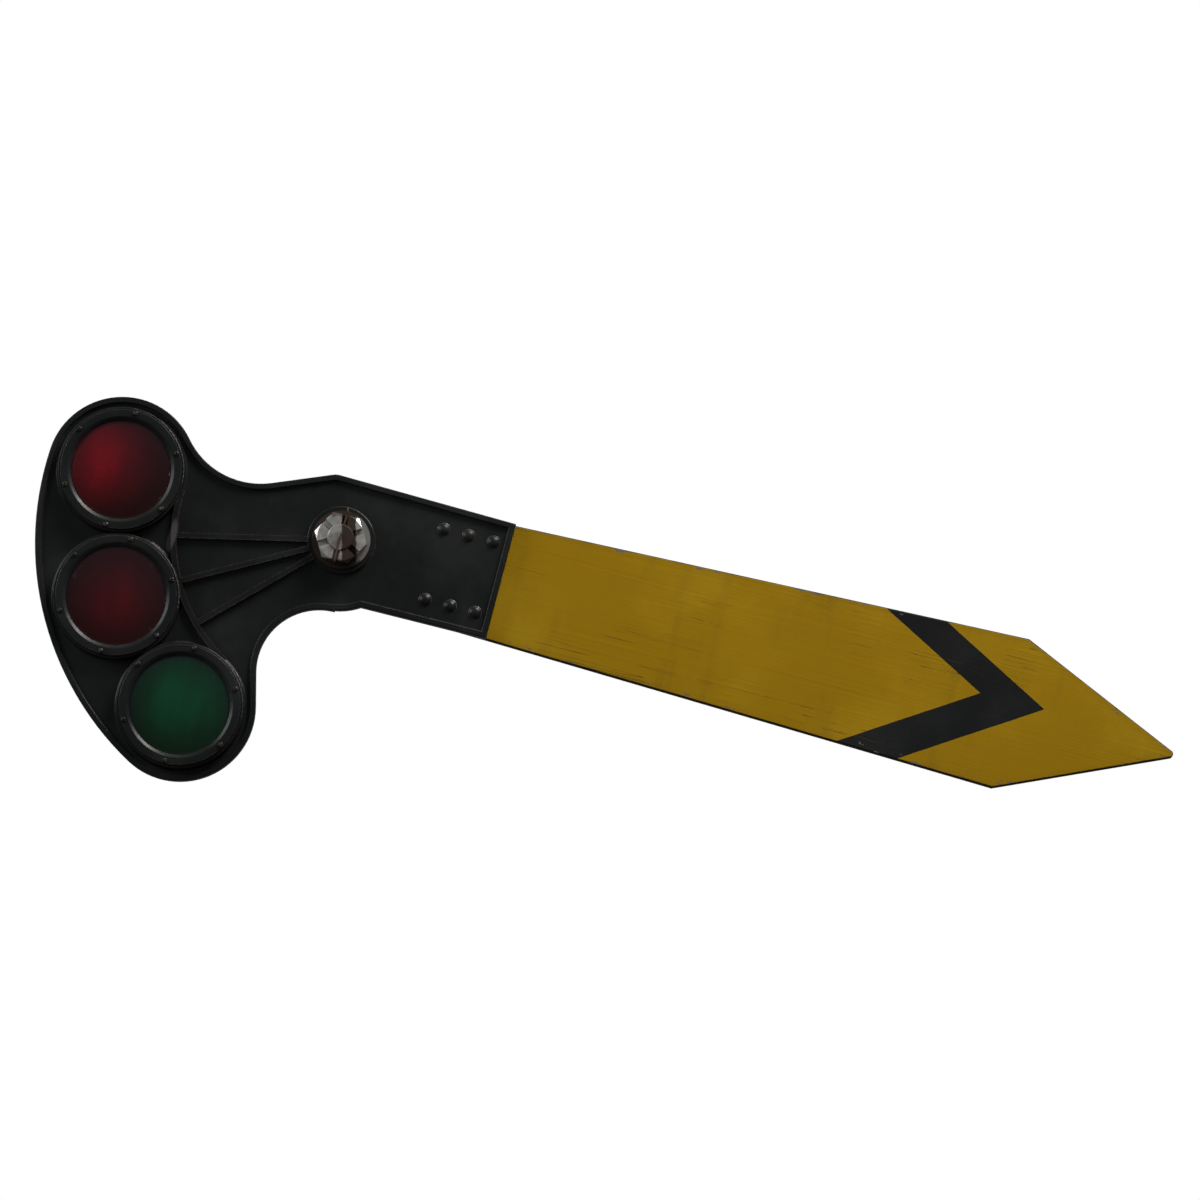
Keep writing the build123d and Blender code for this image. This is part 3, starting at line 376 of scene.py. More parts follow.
def turned(profile, base, axis=(0.0, -1.0, 0.0), sides=96):
    """A profile of (radius, height) carried round an axis.

    A point lands at base + height * axis + radius * (cos t * first + sin t * second), where first
    and second are square to the axis and to each other.
    """
    radius, rise = np.array(profile, float).T[:, :, None]
    axis = np.array(axis, float)
    first = np.cross(axis, (0.0, 0.0, 1.0) if abs(axis[2]) < 0.9 else (0.0, 1.0, 0.0))
    first = first / np.linalg.norm(first)
    second = np.cross(axis, first)
    t = np.linspace(0, 2 * pi, sides, endpoint=False)
    ring = np.cos(t)[:, None] * first + np.sin(t)[:, None] * second
    return np.array(base, float) + rise[:, :, None] * axis + radius[:, :, None] * ring


def middle_of(node):
    """The middle of a node's box, and half its size."""
    low, high = (np.array(corner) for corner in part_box(node))
    return (low + high) / 2, (high - low) / 2


def vertex_places(node):
    """A node's vertices as an array."""
    mesh = nodes[node].data
    flat = np.empty(len(mesh.vertices) * 3, np.float32)
    mesh.vertices.foreach_get("co", flat)
    return flat.reshape(-1, 3).astype(float)


print("turning ready")

# %% [markdown]
# ## Black enamel on cast iron
#
# The spectacle, its rings and its screws are painted black. On the real thing the paint follows
# the sand texture of the casting, turns chalky in patches, wears through to brown primer and
# dull iron along the edges, and catches grey dust on whatever faces up. A flat black would show
# none of the shape, so the finish is mostly variation: roughness and small bumps make the form
# readable while the colour stays nearly black. Wear could be painted by hand, but a Bevel node
# finds the edges by itself. Only one mark has a place of its own: a painted highlight on the
# arched rib, coloured as bare iron.

# %% Black enamel
ENAMEL = colour(0.0075, 0.0085, 0.008)
CHALK = colour(0.0155, 0.017, 0.016)
PRIMER = colour(0.062, 0.026, 0.014)
WORN_IRON = colour(0.11, 0.105, 0.098)
DUST = colour(0.085, 0.078, 0.066)
EDGE_WIDTH = 0.0022              # how far in from an edge the paint wears
LUMP_DEPTH = 0.0006
# painted highlight on the arched rib, coloured as bare iron
RIB_HIGHLIGHT_PATCH = (-0.2696, -0.061, 0.0085, 0.032)    # x, z, half width and half height


def enamel(name, wear, dust, sand=0.00009, highlight_patch=None):
    """Black paint: wear and dust are shares from 0 to 1, and sand is the casting's roughness.

    A highlight patch is a painted highlight, coloured as bare iron: its middle x and z, half width
    and half height.
    """
    black = material(name)
    patches = black.noise(7.0, detail=5.0)
    fine = black.noise(160.0, detail=3.0)
    grit = black.noise(900.0, detail=2.0)
    lumps = black.noise(45.0, detail=2.0, shift=3.0)
    edge = black.edge(EDGE_WIDTH)
    rubbed = (edge + fine * 0.07 + patches * 0.06 - 0.07).ramp(0.085 / wear, 0.16 / wear)
    wear_and_highlight = rubbed * fine.ramp(0.42, 0.60)
    # painted highlight: the patch is coloured as bare iron on front faces, on top of the edge wear
    if highlight_patch:
        x, _, z = black.axes(black.place())
        middle_x, middle_z, half_width, half_height = highlight_patch
        across = (x - middle_x) * (1.0 / half_width)
        along = (z - middle_z) * (1.0 / half_height)
        in_front = black.facing()[1].ramp(-0.75, -0.97)
        highlight_spot = (across * across + along * along).ramp(1.0, 0.3) * in_front
        wear_and_highlight = wear_and_highlight.greater(highlight_spot * (0.35 + fine * 0.6))
    top = black.facing()[2].ramp(0.35, 0.95)
    settled = top * dust * black.noise(60.0, detail=5.0, shift=7.0).ramp(0.2, 0.95)
    runs = black.noise(38.0, stretch=(1.0, 1.0, 0.09), shift=1.5).ramp(0.56, 0.78)
    paint = black.mix(patches.ramp(0.40, 0.72), ENAMEL, CHALK)
    paint = black.mix(runs * 0.30, paint, CHALK)
    paint = black.mix(rubbed * 0.85, paint, PRIMER)
    paint = black.mix(wear_and_highlight, paint, WORN_IRON)
    paint = black.mix(settled, paint, DUST)
    relief = black.bump(lumps, LUMP_DEPTH, black.bump(grit + fine * 0.6, sand))
    return black.surface(
        Base_Color=paint,
        Roughness=0.20 + patches * 0.18 + fine * 0.10 + settled * 0.3,
        Metallic=wear_and_highlight * 0.5,
        Normal=relief,
        Specular_IOR_Level=0.18,
    )


cast_enamel = enamel("spectacle_enamel", wear=1.0, dust=0.7, highlight_patch=RIB_HIGHLIGHT_PATCH)
ring_enamel = enamel("ring_enamel", wear=1.9, dust=0.6, sand=0.00003)
bearing_enamel = enamel("bearing_enamel", wear=1.3, dust=1.0, sand=0.00014)
nodes["spectacle_casting"].material_slots[0].material = cast_enamel
for name in ("bearing_housing", "operating_crank"):
    nodes[name].material_slots[0].material = bearing_enamel
print("enamel on the casting, the bearing and the crank")

# %% [markdown]
# ## The blade's paint
#
# The blade is a plank, painted dull signal yellow in front with one black chevron, and black on
# its edges and back. The chevron could be an image, but a formula is sharper and has no size:
# every point of the board has a distance along it, slanted back from the chevron's apex at the
# angle of the upper or the lower arm, whichever is further, and the stripe is where that distance
# lies in a band. A little noise makes the painter's edge. The grain of the plank, brush strokes,
# faded patches and small chips near the edges are more noise, drawn out along the board.

# %% Blade paint
SHOULDER = 1.130                 # where the blade is widest, from the pivot
POINT = 1.412                    # where its two slanted edges would meet
ROOT_X = 0.270                   # where the casting stops
ROOT_HALF = 0.097
SHOULDER_HALF = 0.126
APEX_FRONT = 1.182               # chevron's outer apex, along the board
APEX_RISE = 0.0196
STRIPE = 0.108                   # its width along the board
UPPER_LEAN = radians(28.0)       # of its upper arm, to the board's length
LOWER_LEAN = radians(33.0)
BRUSH_WANDER = 0.0022
PAINT_EDGE = 0.0005
YELLOW = colour(0.288, 0.162, 0.0022)
YELLOW_FADED = colour(0.348, 0.208, 0.006)
YELLOW_DIRTY = colour(0.175, 0.098, 0.006)
BLADE_BLACK = colour(0.009, 0.010, 0.0095)
BARE_WOOD = colour(0.16, 0.12, 0.08)
CRACK_DARK = colour(0.02, 0.014, 0.008)
CHIPPED = (0.735, 0.750)         # noise between which the paint is gone
GRAIN_DEPTH = 0.00045


def blade_paint():
    board = material("blade_yellow_and_black")
    x, _, z = board.axes(board.place())
    slope = (SHOULDER_HALF - ROOT_HALF) / (SHOULDER - ROOT_X)
    lean = SHOULDER_HALF / (POINT - SHOULDER)
    to_side = (x - ROOT_X) * slope + ROOT_HALF - abs(z)
    to_slant = (POINT - x) * lean - abs(z)
    inside = to_side.lesser(to_slant)
    wander = (board.noise(26.0, detail=3.0) - 0.5) * BRUSH_WANDER
    rise = z - APEX_RISE
    slant = (rise * (1.0 / tan(UPPER_LEAN))).greater(rise * (-1.0 / tan(LOWER_LEAN)))
    along = x + slant + wander
    behind = along.ramp(APEX_FRONT - STRIPE - PAINT_EDGE, APEX_FRONT - STRIPE + PAINT_EDGE)
    beyond = along.ramp(APEX_FRONT - PAINT_EDGE, APEX_FRONT + PAINT_EDGE)
    chevron = behind * (1.0 - beyond)
    front = (board.facing()[1] * -1.0).ramp(0.80, 0.90)
    yellow = front * (inside + wander).ramp(0.0012, 0.0020) * (1.0 - chevron)

    grain = board.noise(9.0, stretch=(0.35, 3.0, 22.0), detail=5.0)
    strokes = board.noise(14.0, stretch=(0.22, 1.0, 42.0), detail=3.0, shift=5.0)
    clouds = board.noise(5.5, detail=5.0, shift=2.0)
    speckle = board.noise(240.0, detail=3.0)
    grime = board.noise(20.0, stretch=(1.0, 1.0, 0.16), detail=5.0, shift=9.0)
    crack_line = abs(board.noise(6.0, stretch=(0.16, 1.0, 16.0), detail=2.0, shift=4.0) - 0.5)
    crack = crack_line.ramp(0.0045, 0.0015) * board.noise(8.0, shift=6.0).ramp(0.52, 0.60)
    near_edge = inside.ramp(0.016, 0.001)
    chip_noise = board.noise(75.0, stretch=(0.6, 1.0, 1.4), detail=6.0, shift=8.0)
    chip = (chip_noise + near_edge * (front * 0.09 + 0.05)).ramp(*CHIPPED)

    tone = board.mix(clouds.ramp(0.42, 0.74), YELLOW, YELLOW_FADED)
    tone = board.mix(grime.ramp(0.52, 0.78) * 0.55 + near_edge * 0.22, tone, YELLOW_DIRTY)
    tone = board.mix(strokes.ramp(0.35, 0.75) * 0.22, tone, YELLOW_DIRTY)
    dark = board.mix(clouds.ramp(0.45, 0.75), BLADE_BLACK, CHALK)
    paint = board.mix(yellow, dark, tone)
    paint = board.mix(crack * 0.8, paint, CRACK_DARK)
    paint = board.mix(chip, paint, BARE_WOOD)
    relief = grain * 0.55 + strokes * 0.25 + speckle * 0.05 - crack * 0.5 - chip * 0.5
    return board.surface(
        Base_Color=paint,
        Roughness=0.36 + strokes * 0.14 + grime * 0.12 + chip * 0.3,
        Normal=board.bump(relief + chevron * 0.12, GRAIN_DEPTH),
        Specular_IOR_Level=0.08,
    )


nodes["blade"].material_slots[0].material = blade_paint()
low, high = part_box("blade")
print("blade from", round(low.x, 4), "to", round(high.x, 4))

# %% [markdown]
# ## The glasses
#
# A roundel is a moulded glass disc, flat at the rim where it is clamped and domed in the middle.
# The glass is coloured all through and so deep that by daylight it is nearly black; the colour
# glows only where light comes through. It could be a flat disc with a bump, but the dome bends
# the highlight, so it is real geometry: two arcs of circles, one in front of the other, turned
# round the roundel's own axis. Old moulded glass is never true, so a slow wave is added to it.
# Each glass's colour holds painted light and shade: it is brightest at a point of its own, where
# light comes through, and darkens with the distance from there, with uneven streaks across it.

# %% Glass
GLASS_WAVE = 0.00016
WAVE_ACROSS, WAVE_UP = 71.0, 57.0    # how fast the wave turns, in radians a metre
SWIRL_DEPTH = 0.0007
MOULD_RIDGE = 0.0004
DOME_INSET = 0.0105              # of the dome's edge, from the glass's own edge
RIDGE_TOP, RIDGE_FOOT = 0.001, 0.0025    # of the mould's ridge, from the dome's edge
ROUND_OFF = 0.0012
DOME_ROWS = 28
RED_DEEP = colour(0.045, 0.003, 0.004)
RED_BRIGHT = colour(0.44, 0.005, 0.018)
# painted shade: the middle red is the upper red's glass, given a duller bright colour
RED_SHADED = colour(0.22, 0.005, 0.010)
GREEN_DEEP = colour(0.002, 0.030, 0.012)
GREEN_BRIGHT = colour(0.003, 0.175, 0.055)


def glass(name, deep, bright, glow_point, reach):
    """Deep coloured glass with painted light and shade: bright at one point, darker beyond a reach
    from it.

    The point is given from the glass's middle, and both are shares of the glass's radius.
    """
    melt = material(name + "_glass")
    centre, half = middle_of(name + "_roundel")
    x, _, z = melt.axes(melt.place())
    aside = x - (centre[0] + glow_point[0] * half[0])
    above = z - (centre[2] + glow_point[1] * half[0])
    away = (aside * aside + above * above).math("SQRT") * (1.0 / half[0])
    streaks = melt.noise(26.0, stretch=(1.0, 1.0, 0.35), detail=4.0)
    # painted light and shade: the colour is bright near the chosen point and darker away from it
    clear = away.ramp(reach, 0.05) * (0.55 + streaks.ramp(0.30, 0.75) * 0.45)
    film = melt.noise(120.0, detail=5.0, shift=2.0)
    swirl = melt.noise(30.0, detail=2.0, shift=5.0)
    return melt.surface(
        Base_Color=melt.mix(clear, deep, bright),
        Roughness=0.05 + film.ramp(0.45, 0.75) * 0.16,
        Normal=melt.bump(swirl, SWIRL_DEPTH),
        Transmission_Weight=0.85,
        IOR=1.52,
        Specular_IOR_Level=0.25,
    )


def roundel_points(node, ring):
    """A domed disc, with a slow wave of sines that fades out at the clamped rim."""
    centre, half = middle_of(node)
    outer = half[0]
    crown = -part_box(node)[0].y
    rim_back = -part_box(node)[1].y
    rim_front = -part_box(ring)[1].y
    edge = outer - DOME_INSET
    thickness = rim_front - rim_back

    def arc(foot, top):
        """Depth over the radius r: foot + (sqrt(R^2 - r^2) - (R - rise)), for a ball of radius R."""
        rise = top - foot
        ball = (edge**2 + rise**2) / (2 * rise)
        r = np.linspace(0, edge, DOME_ROWS)
        return np.column_stack([r, foot + np.sqrt(ball**2 - r**2) - (ball - rise)])

    front = arc(rim_front, crown)
    rear = arc(rim_back, crown - thickness)[::-1]
    rim = [
        [edge + RIDGE_TOP, rim_front + MOULD_RIDGE], [edge + RIDGE_FOOT, rim_front],
        [outer - ROUND_OFF, rim_front], [outer, rim_front - ROUND_OFF],
        [outer, rim_back + ROUND_OFF], [outer - ROUND_OFF, rim_back],
    ]
    grid = turned(np.vstack([front, rim, rear]), (centre[0], 0.0, centre[2]))
    away = np.hypot(grid[..., 0] - centre[0], grid[..., 2] - centre[2]) / edge
    wave = np.sin(grid[..., 0] * WAVE_ACROSS) * np.sin(grid[..., 2] * WAVE_UP + 1.0)
    grid[..., 1] += GLASS_WAVE * wave * np.clip(1 - away**2, 0, 1)
    return grid


ROUNDELS = {
    "upper_red": glass("upper_red", RED_DEEP, RED_BRIGHT, (-0.40, 0.04), 1.15),
    # the middle red has painted shade: a duller bright colour, a low bright point and a shorter
    # reach
    "middle_red": glass("middle_red", RED_DEEP, RED_SHADED, (0.02, -0.12), 0.95),
    "green": glass("green", GREEN_DEEP, GREEN_BRIGHT, (0.05, 0.02), 1.12),
}
for name, finish in ROUNDELS.items():
    node = name + "_roundel"
    points = roundel_points(node, name + "_retaining_ring")
    piece(name + "_glass", [points], finish, "arm", node)

# %% [markdown]
# ## Rings and their screws
#
# A ring holds each glass against its gasket. It is a flat ring whose inner edge slopes down to the
# glass, and the slope is what shines as a thin bright arc. It is one closed profile with rounded
# corners, turned. The screws are slotted. In the CAD model all the slots are level, which no
# fitter ever leaves, so the screws are copied and each one is turned by its own angle, about its
# own axis, with one array operation on all their points.

# %% Retaining rings
SLOPE_WIDTH = 0.0055
SLOPE_FOOT = 0.0022              # thickness of the ring's inner edge
RING_ROUNDS = [0.0002, 0.0002, 0.0012, 0.0009, 0.0007]    # of its five corners


def ring_points(node):
    """A flat ring with a sloping inner edge; the bore is where the CAD ring's is."""
    centre, half = middle_of(node)
    outer = half[0]
    rear, front = centre[1] + half[1], centre[1] - half[1]
    reach = np.hypot(*(vertex_places(node)[:, [0, 2]] - centre[[0, 2]]).T)
    inner = reach.min()
    profile = softened(
        [
            (inner, -rear), (outer, -rear), (outer, -front), (inner + SLOPE_WIDTH, -front),
            (inner, -rear + SLOPE_FOOT),
        ],
        RING_ROUNDS,
    )
    return turned(profile, (centre[0], 0.0, centre[2]), sides=144)


for name in ROUNDELS:
    node = name + "_retaining_ring"
    piece(name + "_ring", [ring_points(node)], ring_enamel, "arm", node)

# %% Ring screws, each turned by its own angle
SCREW_INSET = 0.00475            # of the screws' circle, from the ring's edge
SCREWS = 6
FIRST_SCREW = radians(30)
SLOT_SEED = 7                    # of the angles that the slots are left at


def screw_places():
    """Where every screw of the three rings stands, as x and z."""
    angle = FIRST_SCREW + np.arange(SCREWS) * 2 * pi / SCREWS
    places = []
    for name in ROUNDELS:
        centre, half = middle_of(name + "_retaining_ring")
        circle = half[0] - SCREW_INSET
        places.append(centre[[0, 2]] + circle * np.stack([np.cos(angle), np.sin(angle)], -1))
    return np.concatenate(places)


def turned_screws():
    """Each vertex turns about the nearest screw's axis: (x, z) - c is multiplied by a rotation."""
    mesh = nodes["lens_ring_screws"].data.copy()
    points = vertex_places("lens_ring_screws")
    places = screw_places()
    flat = points[:, [0, 2]]
    nearest = np.argmin(((flat[:, None] - places[None]) ** 2).sum(-1), axis=1)
    chosen = np.random.default_rng(SLOT_SEED).uniform(0, pi, len(places))[nearest]
    offset = flat - places[nearest]
    level, upright = offset.T
    points[:, 0] = places[nearest, 0] + level * np.cos(chosen) - upright * np.sin(chosen)
    points[:, 2] = places[nearest, 1] + level * np.sin(chosen) + upright * np.cos(chosen)
    mesh.vertices.foreach_set("co", points.astype(np.float32).ravel())
    mesh.materials.clear()
    return mesh


finished("ring_screws", turned_screws(), ring_enamel, "arm", "lens_ring_screws")

# %% [markdown]
# ## Bare and coated metals
#
# The nut in the middle of the hub is the brightest thing on the arm: bare steel, scratched by
# spanners, with a dark brown upright band beside the split pin. The band leans by the picture's
# roll, so that it stands upright in the picture. Above and below the nut's middle the steel is
# painted shade, and the washer is dark on its left. The rest is noise. Every metal gets its own
# function and its own marks: spangle on zinc, turning lines and a brown skin on bronze, an oil
# film on the keys and the collar, and thick rust on the split pin.

# %% Bright steel with a dark upright band
STEEL = colour(0.50, 0.49, 0.47)
STEEL_DULL = colour(0.30, 0.29, 0.27)
BAND_BROWN = colour(0.020, 0.011, 0.006)
RUST = colour(0.105, 0.040, 0.016)
BAND_LEAN = radians(14.5)             # how far the dark band leans from the arm's upright: the picture's roll
BAND_HALF = 0.0120               # half the dark band's width
BAND_ASIDE = 0.0135              # of its middle, from the split pin
BAND_FADE = 0.0016               # half the width over which it starts
LIGHT_HALF = 0.035               # how far up and down from the middle the steel stays light; beyond it is painted shade
LIGHT_FADE = (-0.004, 0.003)
WASHER_LIGHT_FROM = 0.026             # where the washer's light part starts; short of it the washer is dark
SHAFT_STEEL = colour(0.42, 0.41, 0.385)
SHAFT_DULL = colour(0.22, 0.21, 0.19)
WASHER_DULL = colour(0.24, 0.23, 0.21)


def spanner_steel(name, clean, dull, light_from=-1.0):
    """Bare steel, light except for a dark upright band, painted shade above and below, and a dark
    side.
    """
    steel = material(name)
    x, _, z = steel.axes(steel.place())
    across = x * cos(BAND_LEAN) + z * sin(BAND_LEAN)
    upright = z * cos(BAND_LEAN) - x * sin(BAND_LEAN)
    clouds = steel.noise(60.0, detail=5.0)
    scratch = steel.noise(240.0, stretch=(1.0, 1.0, 0.12), detail=2.0)
    pits = steel.noise(420.0, detail=3.0, shift=3.0)
    ragged = (steel.noise(130.0, detail=3.0, shift=6.0) - 0.5) * 0.007
    from_band = abs(across - BAND_ASIDE) + ragged
    band = from_band.ramp(BAND_HALF + BAND_FADE, BAND_HALF - BAND_FADE)
    # painted shade above and below the middle
    beyond = (abs(upright) + ragged).ramp(LIGHT_HALF + LIGHT_FADE[0], LIGHT_HALF + LIGHT_FADE[1])
    # dark where the steel lies short of the start of its light part
    dark_side = (across + ragged).ramp(light_from + 0.002, light_from - 0.002)
    # the band, the painted shade and the dark side are all coloured dark brown
    band = band.greater(beyond * 0.92).greater(dark_side)
    rusty = (clouds + steel.edge(0.0012) * 0.3).ramp(0.60, 0.72)
    tone = steel.mix(clouds.ramp(0.35, 0.65), clean, dull)
    tone = steel.mix(rusty * 0.55, tone, RUST)
    tone = steel.mix(band * 0.98, tone, BAND_BROWN)
    return steel.surface(
        Base_Color=tone,
        Metallic=(0.70 - rusty * 0.35) * (1.0 - band),
        Roughness=0.34 + clouds * 0.16 + rusty * 0.2 + band * 0.1,
        Normal=steel.bump(scratch * 0.4 + pits.ramp(0.5, 0.8) * 0.6, 0.00008),
        Specular_IOR_Level=0.2,
    )


HUB_STEELS = {
    "castle_nut": spanner_steel("bright_steel", STEEL, STEEL_DULL),
    "semaphore_shaft": spanner_steel("shaft_steel", SHAFT_STEEL, SHAFT_DULL),
    "hub_washer": spanner_steel("washer_steel", STEEL_DULL, WASHER_DULL, light_from=WASHER_LIGHT_FROM),
}
for name, finish in HUB_STEELS.items():
    nodes[name].material_slots[0].material = finish
print("bright steel on", *HUB_STEELS)

# %% Rust, zinc, oiled steel and bronze
def rusted():
    """Two browns in thick scale, with no shine."""
    scale = material("rusted_steel")
    crust = scale.noise(330.0, detail=6.0, roughness=0.7)
    deep = scale.noise(90.0, detail=3.0, shift=2.0)
    tone = scale.mix(crust.ramp(0.35, 0.70), colour(0.036, 0.015, 0.008), RUST)
    tone = scale.mix(deep.ramp(0.60, 0.80) * 0.5, tone, colour(0.19, 0.075, 0.026))
    return scale.surface(
        Base_Color=tone, Roughness=0.82, Metallic=0.1, Normal=scale.bump(crust, 0.00025)
    )


def zinc():
    """Dull zinc: each spangle has its own grey, and white powder gathers in patches."""
    coat = material("galvanised_steel")
    spangle = coat.add("ShaderNodeRGBToBW", inputs={"Color": coat.cells(130.0, "Color")})
    powder = coat.noise(70.0, detail=6.0, shift=4.0).ramp(0.55, 0.75)
    stain = coat.noise(24.0, detail=4.0, shift=8.0).ramp(0.58, 0.75)
    tone = coat.mix(spangle, colour(0.25, 0.26, 0.265), colour(0.40, 0.41, 0.41))
    tone = coat.mix(powder * 0.5, tone, colour(0.46, 0.46, 0.45))
    tone = coat.mix(stain * 0.6, tone, RUST)
    return coat.surface(
        Base_Color=tone,
        Metallic=0.85 - powder * 0.6 - stain * 0.5,
        Roughness=0.42 + spangle * 0.12 + powder * 0.3,
        Normal=coat.bump(coat.noise(500.0, detail=3.0), 0.00005),
    )


def oiled():
    """Dark steel under a film of old oil."""
    steel = material("oiled_steel")
    smear = steel.noise(45.0, detail=5.0)
    turning = steel.noise(40.0, stretch=(1.0, 30.0, 1.0), detail=2.0)
    tone = steel.mix(smear.ramp(0.35, 0.7), colour(0.28, 0.265, 0.24), colour(0.10, 0.075, 0.048))
    return steel.surface(
        Base_Color=tone,
        Metallic=0.9,
        Roughness=0.28 + smear * 0.25,
        Normal=steel.bump(turning, 0.00004),
        Coat_Weight=smear * 0.5,
    )


def bronze():
    """Turned bronze: fine rings along the bush, under a brown skin."""
    bush = material("bushing_bronze")
    rings = bush.noise(55.0, stretch=(1.0, 40.0, 1.0), detail=2.0)
    skin = bush.noise(50.0, detail=5.0, shift=3.0)
    tone = bush.mix(skin.ramp(0.38, 0.68), colour(0.48, 0.29, 0.11), colour(0.15, 0.085, 0.035))
    return bush.surface(
        Base_Color=tone,
        Metallic=0.95,
        Roughness=0.26 + skin * 0.3,
        Normal=bush.bump(rings, 0.00005),
    )


rust_finish, zinc_finish = rusted(), zinc()
oiled_finish, bronze_finish = oiled(), bronze()
METALS = {
    "cotter_pin": rust_finish,
    "blade_clamp_plate": zinc_finish,
    "blade_bolt_nuts": zinc_finish,
    "blade_bolt_washers": zinc_finish,
    "rear_cover": zinc_finish,
    "cover_screws": zinc_finish,
    "grease_nipple": zinc_finish,
    "stop_lock_nuts": zinc_finish,
    "crank_key": oiled_finish,
    "hub_key": oiled_finish,
    "thrust_collar": oiled_finish,
    "collar_pin": oiled_finish,
    "front_bush": bronze_finish,
    "rear_bush": bronze_finish,
    "crank_eye_bush": bronze_finish,
}
for name, finish in METALS.items():
    nodes[name].material_slots[0].material = finish
print("metals on", len(METALS), "nodes")

# %% [markdown]
# ## Rubber and felt
#
# A rubber ring lies behind each glass, and a felt ring keeps grit out of the front bush. Both are
# small and mostly hidden, and both are matt. What tells them apart is the surface: rubber has a
# grey bloom and is smooth, felt is a mat of fibres soaked with oil.

# %% Rubber and felt
def rubber():
    ring = material("gasket_rubber")
    bloom = ring.noise(80.0, detail=5.0)
    black, grey = colour(0.012, 0.012, 0.012), colour(0.05, 0.05, 0.048)
    return ring.surface(
        Base_Color=ring.mix(bloom.ramp(0.4, 0.75), black, grey),
        Roughness=0.7 + bloom * 0.2,
        Normal=ring.bump(ring.noise(700.0, detail=2.0), 0.00004),
    )


def felt():
    mat = material("oiled_felt")
    fibres = mat.noise(900.0, stretch=(1.0, 0.3, 1.0), detail=4.0, roughness=0.7)
    soaked = mat.noise(70.0, detail=4.0, shift=2.0)
    tone = mat.mix(soaked.ramp(0.35, 0.7), colour(0.17, 0.14, 0.10), colour(0.045, 0.032, 0.02))
    return mat.surface(
        Base_Color=mat.mix(fibres.ramp(0.5, 0.8) * 0.4, tone, colour(0.24, 0.21, 0.17)),
        Roughness=0.95,
        Normal=mat.bump(fibres, 0.0004),
        Sheen_Weight=0.3,
    )


rubber_finish = rubber()
for name in ROUNDELS:
    nodes[name + "_gasket"].material_slots[0].material = rubber_finish
nodes["felt_seal"].material_slots[0].material = felt()
print("rubber on", len(ROUNDELS), "gaskets, felt on one ring")

# %% [markdown]
# ## Threads
#
# The stop screws and the tails of the blade bolts show their threads behind the arm. A thread
# could be a picture of ridges in a bump, but a bump has no outline. Its surface is a cylinder
# whose radius depends on both parameters: it swings between the crest and the root as height over
# pitch, less the turn, goes through whole numbers. At both ends the swing shrinks to nothing and
# the rod narrows, which is the lead that a die leaves.

# %% Threaded rods
CREST_SHARE = 0.62               # thread depth as a share of its pitch
ROWS_A_TURN = 8
LEAD_TURNS = 1.2                 # over which an end narrows


def threaded(base, axis, length, radius, pitch, sides=32):
    """Radius over turn t and height h: R - depth * (1 - |2 frac(h/pitch - t/2pi) - 1|)."""
    rows = int(length / pitch * ROWS_A_TURN)
    h = np.linspace(0, length, rows)[:, None]
    t = np.linspace(0, 1, sides, endpoint=False)[None]
    depth = CREST_SHARE * pitch
    swing = 1 - np.abs(2 * np.mod(h / pitch - t, 1.0) - 1)
    lead = np.clip(np.minimum(h, length - h) / (LEAD_TURNS * pitch), 0, 1)
    lathe = turned(np.column_stack([np.ones(rows), h[:, 0]]), base, axis, sides)
    centre_line = np.array(base, float) + h[:, :, None] * np.array(axis, float)
    reach = radius - depth * (swing * lead + (1 - lead))
    rod = centre_line + (lathe - centre_line) * reach[:, :, None]
    return closed_ends(rod, centre_line[0, 0], centre_line[-1, 0])


def closed_ends(grid, first, last):
    """The same grid with a row at its first end and one at its last drawn in to a point."""
    ones = np.ones((1, grid.shape[1], 1))
    return np.concatenate([ones * first, grid, ones * last])


# %% Blade bolts
WASHER_WIDTH = 0.022
BOLT_RADIUS = 0.005
BOLT_PITCH = 0.0015
BOLT_THREAD = 0.018
HEAD_HEIGHT = 0.0055
HEAD_EDGE = 0.0004               # from the last ring of the dome to the head's rim
HEAD_LIP = 0.0003                # height of that rim
LIP_ROUND = 0.0002
SHANK_CLEARANCE = 0.00002


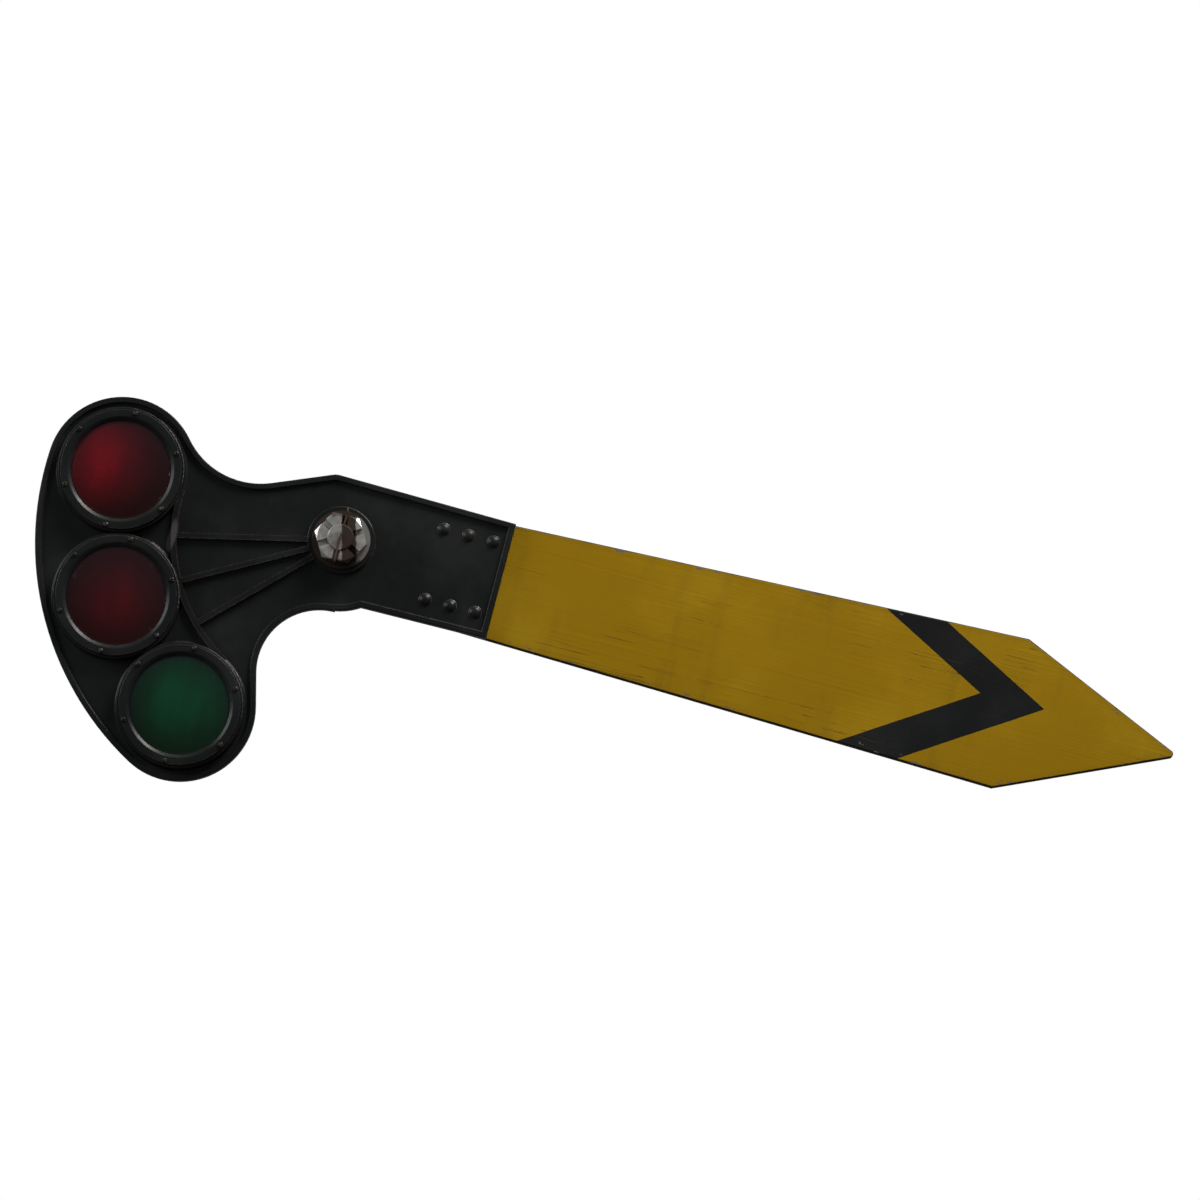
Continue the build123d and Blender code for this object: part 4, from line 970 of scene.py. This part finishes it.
def bolt_places():
    """Centres of the six blade bolts, as x and z, from the box round their washers."""
    low, high = (np.array(corner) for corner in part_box("blade_bolt_washers"))
    radius = WASHER_WIDTH / 2
    columns = np.linspace(low[0] + radius, high[0] - radius, 3)
    return [(x, z) for x in columns for z in (low[2] + radius, high[2] - radius)]


def blade_bolt_grids():
    """Domed head, plain shank and threaded tail, for each bolt."""
    low, high = (np.array(corner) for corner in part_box("blade_bolts"))
    front, rear = -low[1], -high[1]
    seat = front - HEAD_HEIGHT
    head = WASHER_WIDTH / 2
    ball = (head**2 + HEAD_HEIGHT**2) / (2 * HEAD_HEIGHT)
    r = np.linspace(0, head - HEAD_EDGE, 14)
    dome = np.column_stack([r, seat + np.sqrt(ball**2 - r**2) - (ball - HEAD_HEIGHT)])
    shank = BOLT_RADIUS - SHANK_CLEARANCE
    rest = [
        (head, seat + HEAD_LIP), (head - LIP_ROUND, seat), (shank, seat),
        (shank, rear + BOLT_THREAD), (0, rear + BOLT_THREAD),
    ]
    profile = np.vstack([dome, rest])
    grids = []
    for x, z in bolt_places():
        grids.append(turned(profile, (x, 0.0, z), sides=40))
        grids.append(threaded((x, -rear, z), (0, -1, 0), BOLT_THREAD, BOLT_RADIUS, BOLT_PITCH))
    return grids


piece("blade_bolts_threaded", blade_bolt_grids(), cast_enamel, "arm", "blade_bolts")

# %% Stop screws
STOP_RADIUS = 0.006
STOP_PITCH = 0.00175


def stop_screw_grids():
    """Each screw's axis is the direction in which its points spread furthest."""
    points = vertex_places("stop_screws")
    upper = points[:, 2] > points[:, 2].mean()
    grids = []
    for one in (points[upper], points[~upper]):
        offset = one - one.mean(0)
        axis = np.linalg.svd(offset, full_matrices=False)[2][0]
        reach = offset @ axis
        base = one.mean(0) + reach.min() * axis
        length = reach.max() - reach.min()
        print("stop screw from", base.round(4), "length", round(length, 4))
        grids.append(threaded(base, axis, length, STOP_RADIUS, STOP_PITCH))
    return grids


screws = stop_screw_grids()
piece("stop_screws_threaded", screws, zinc_finish, "bearing", "stop_screws")
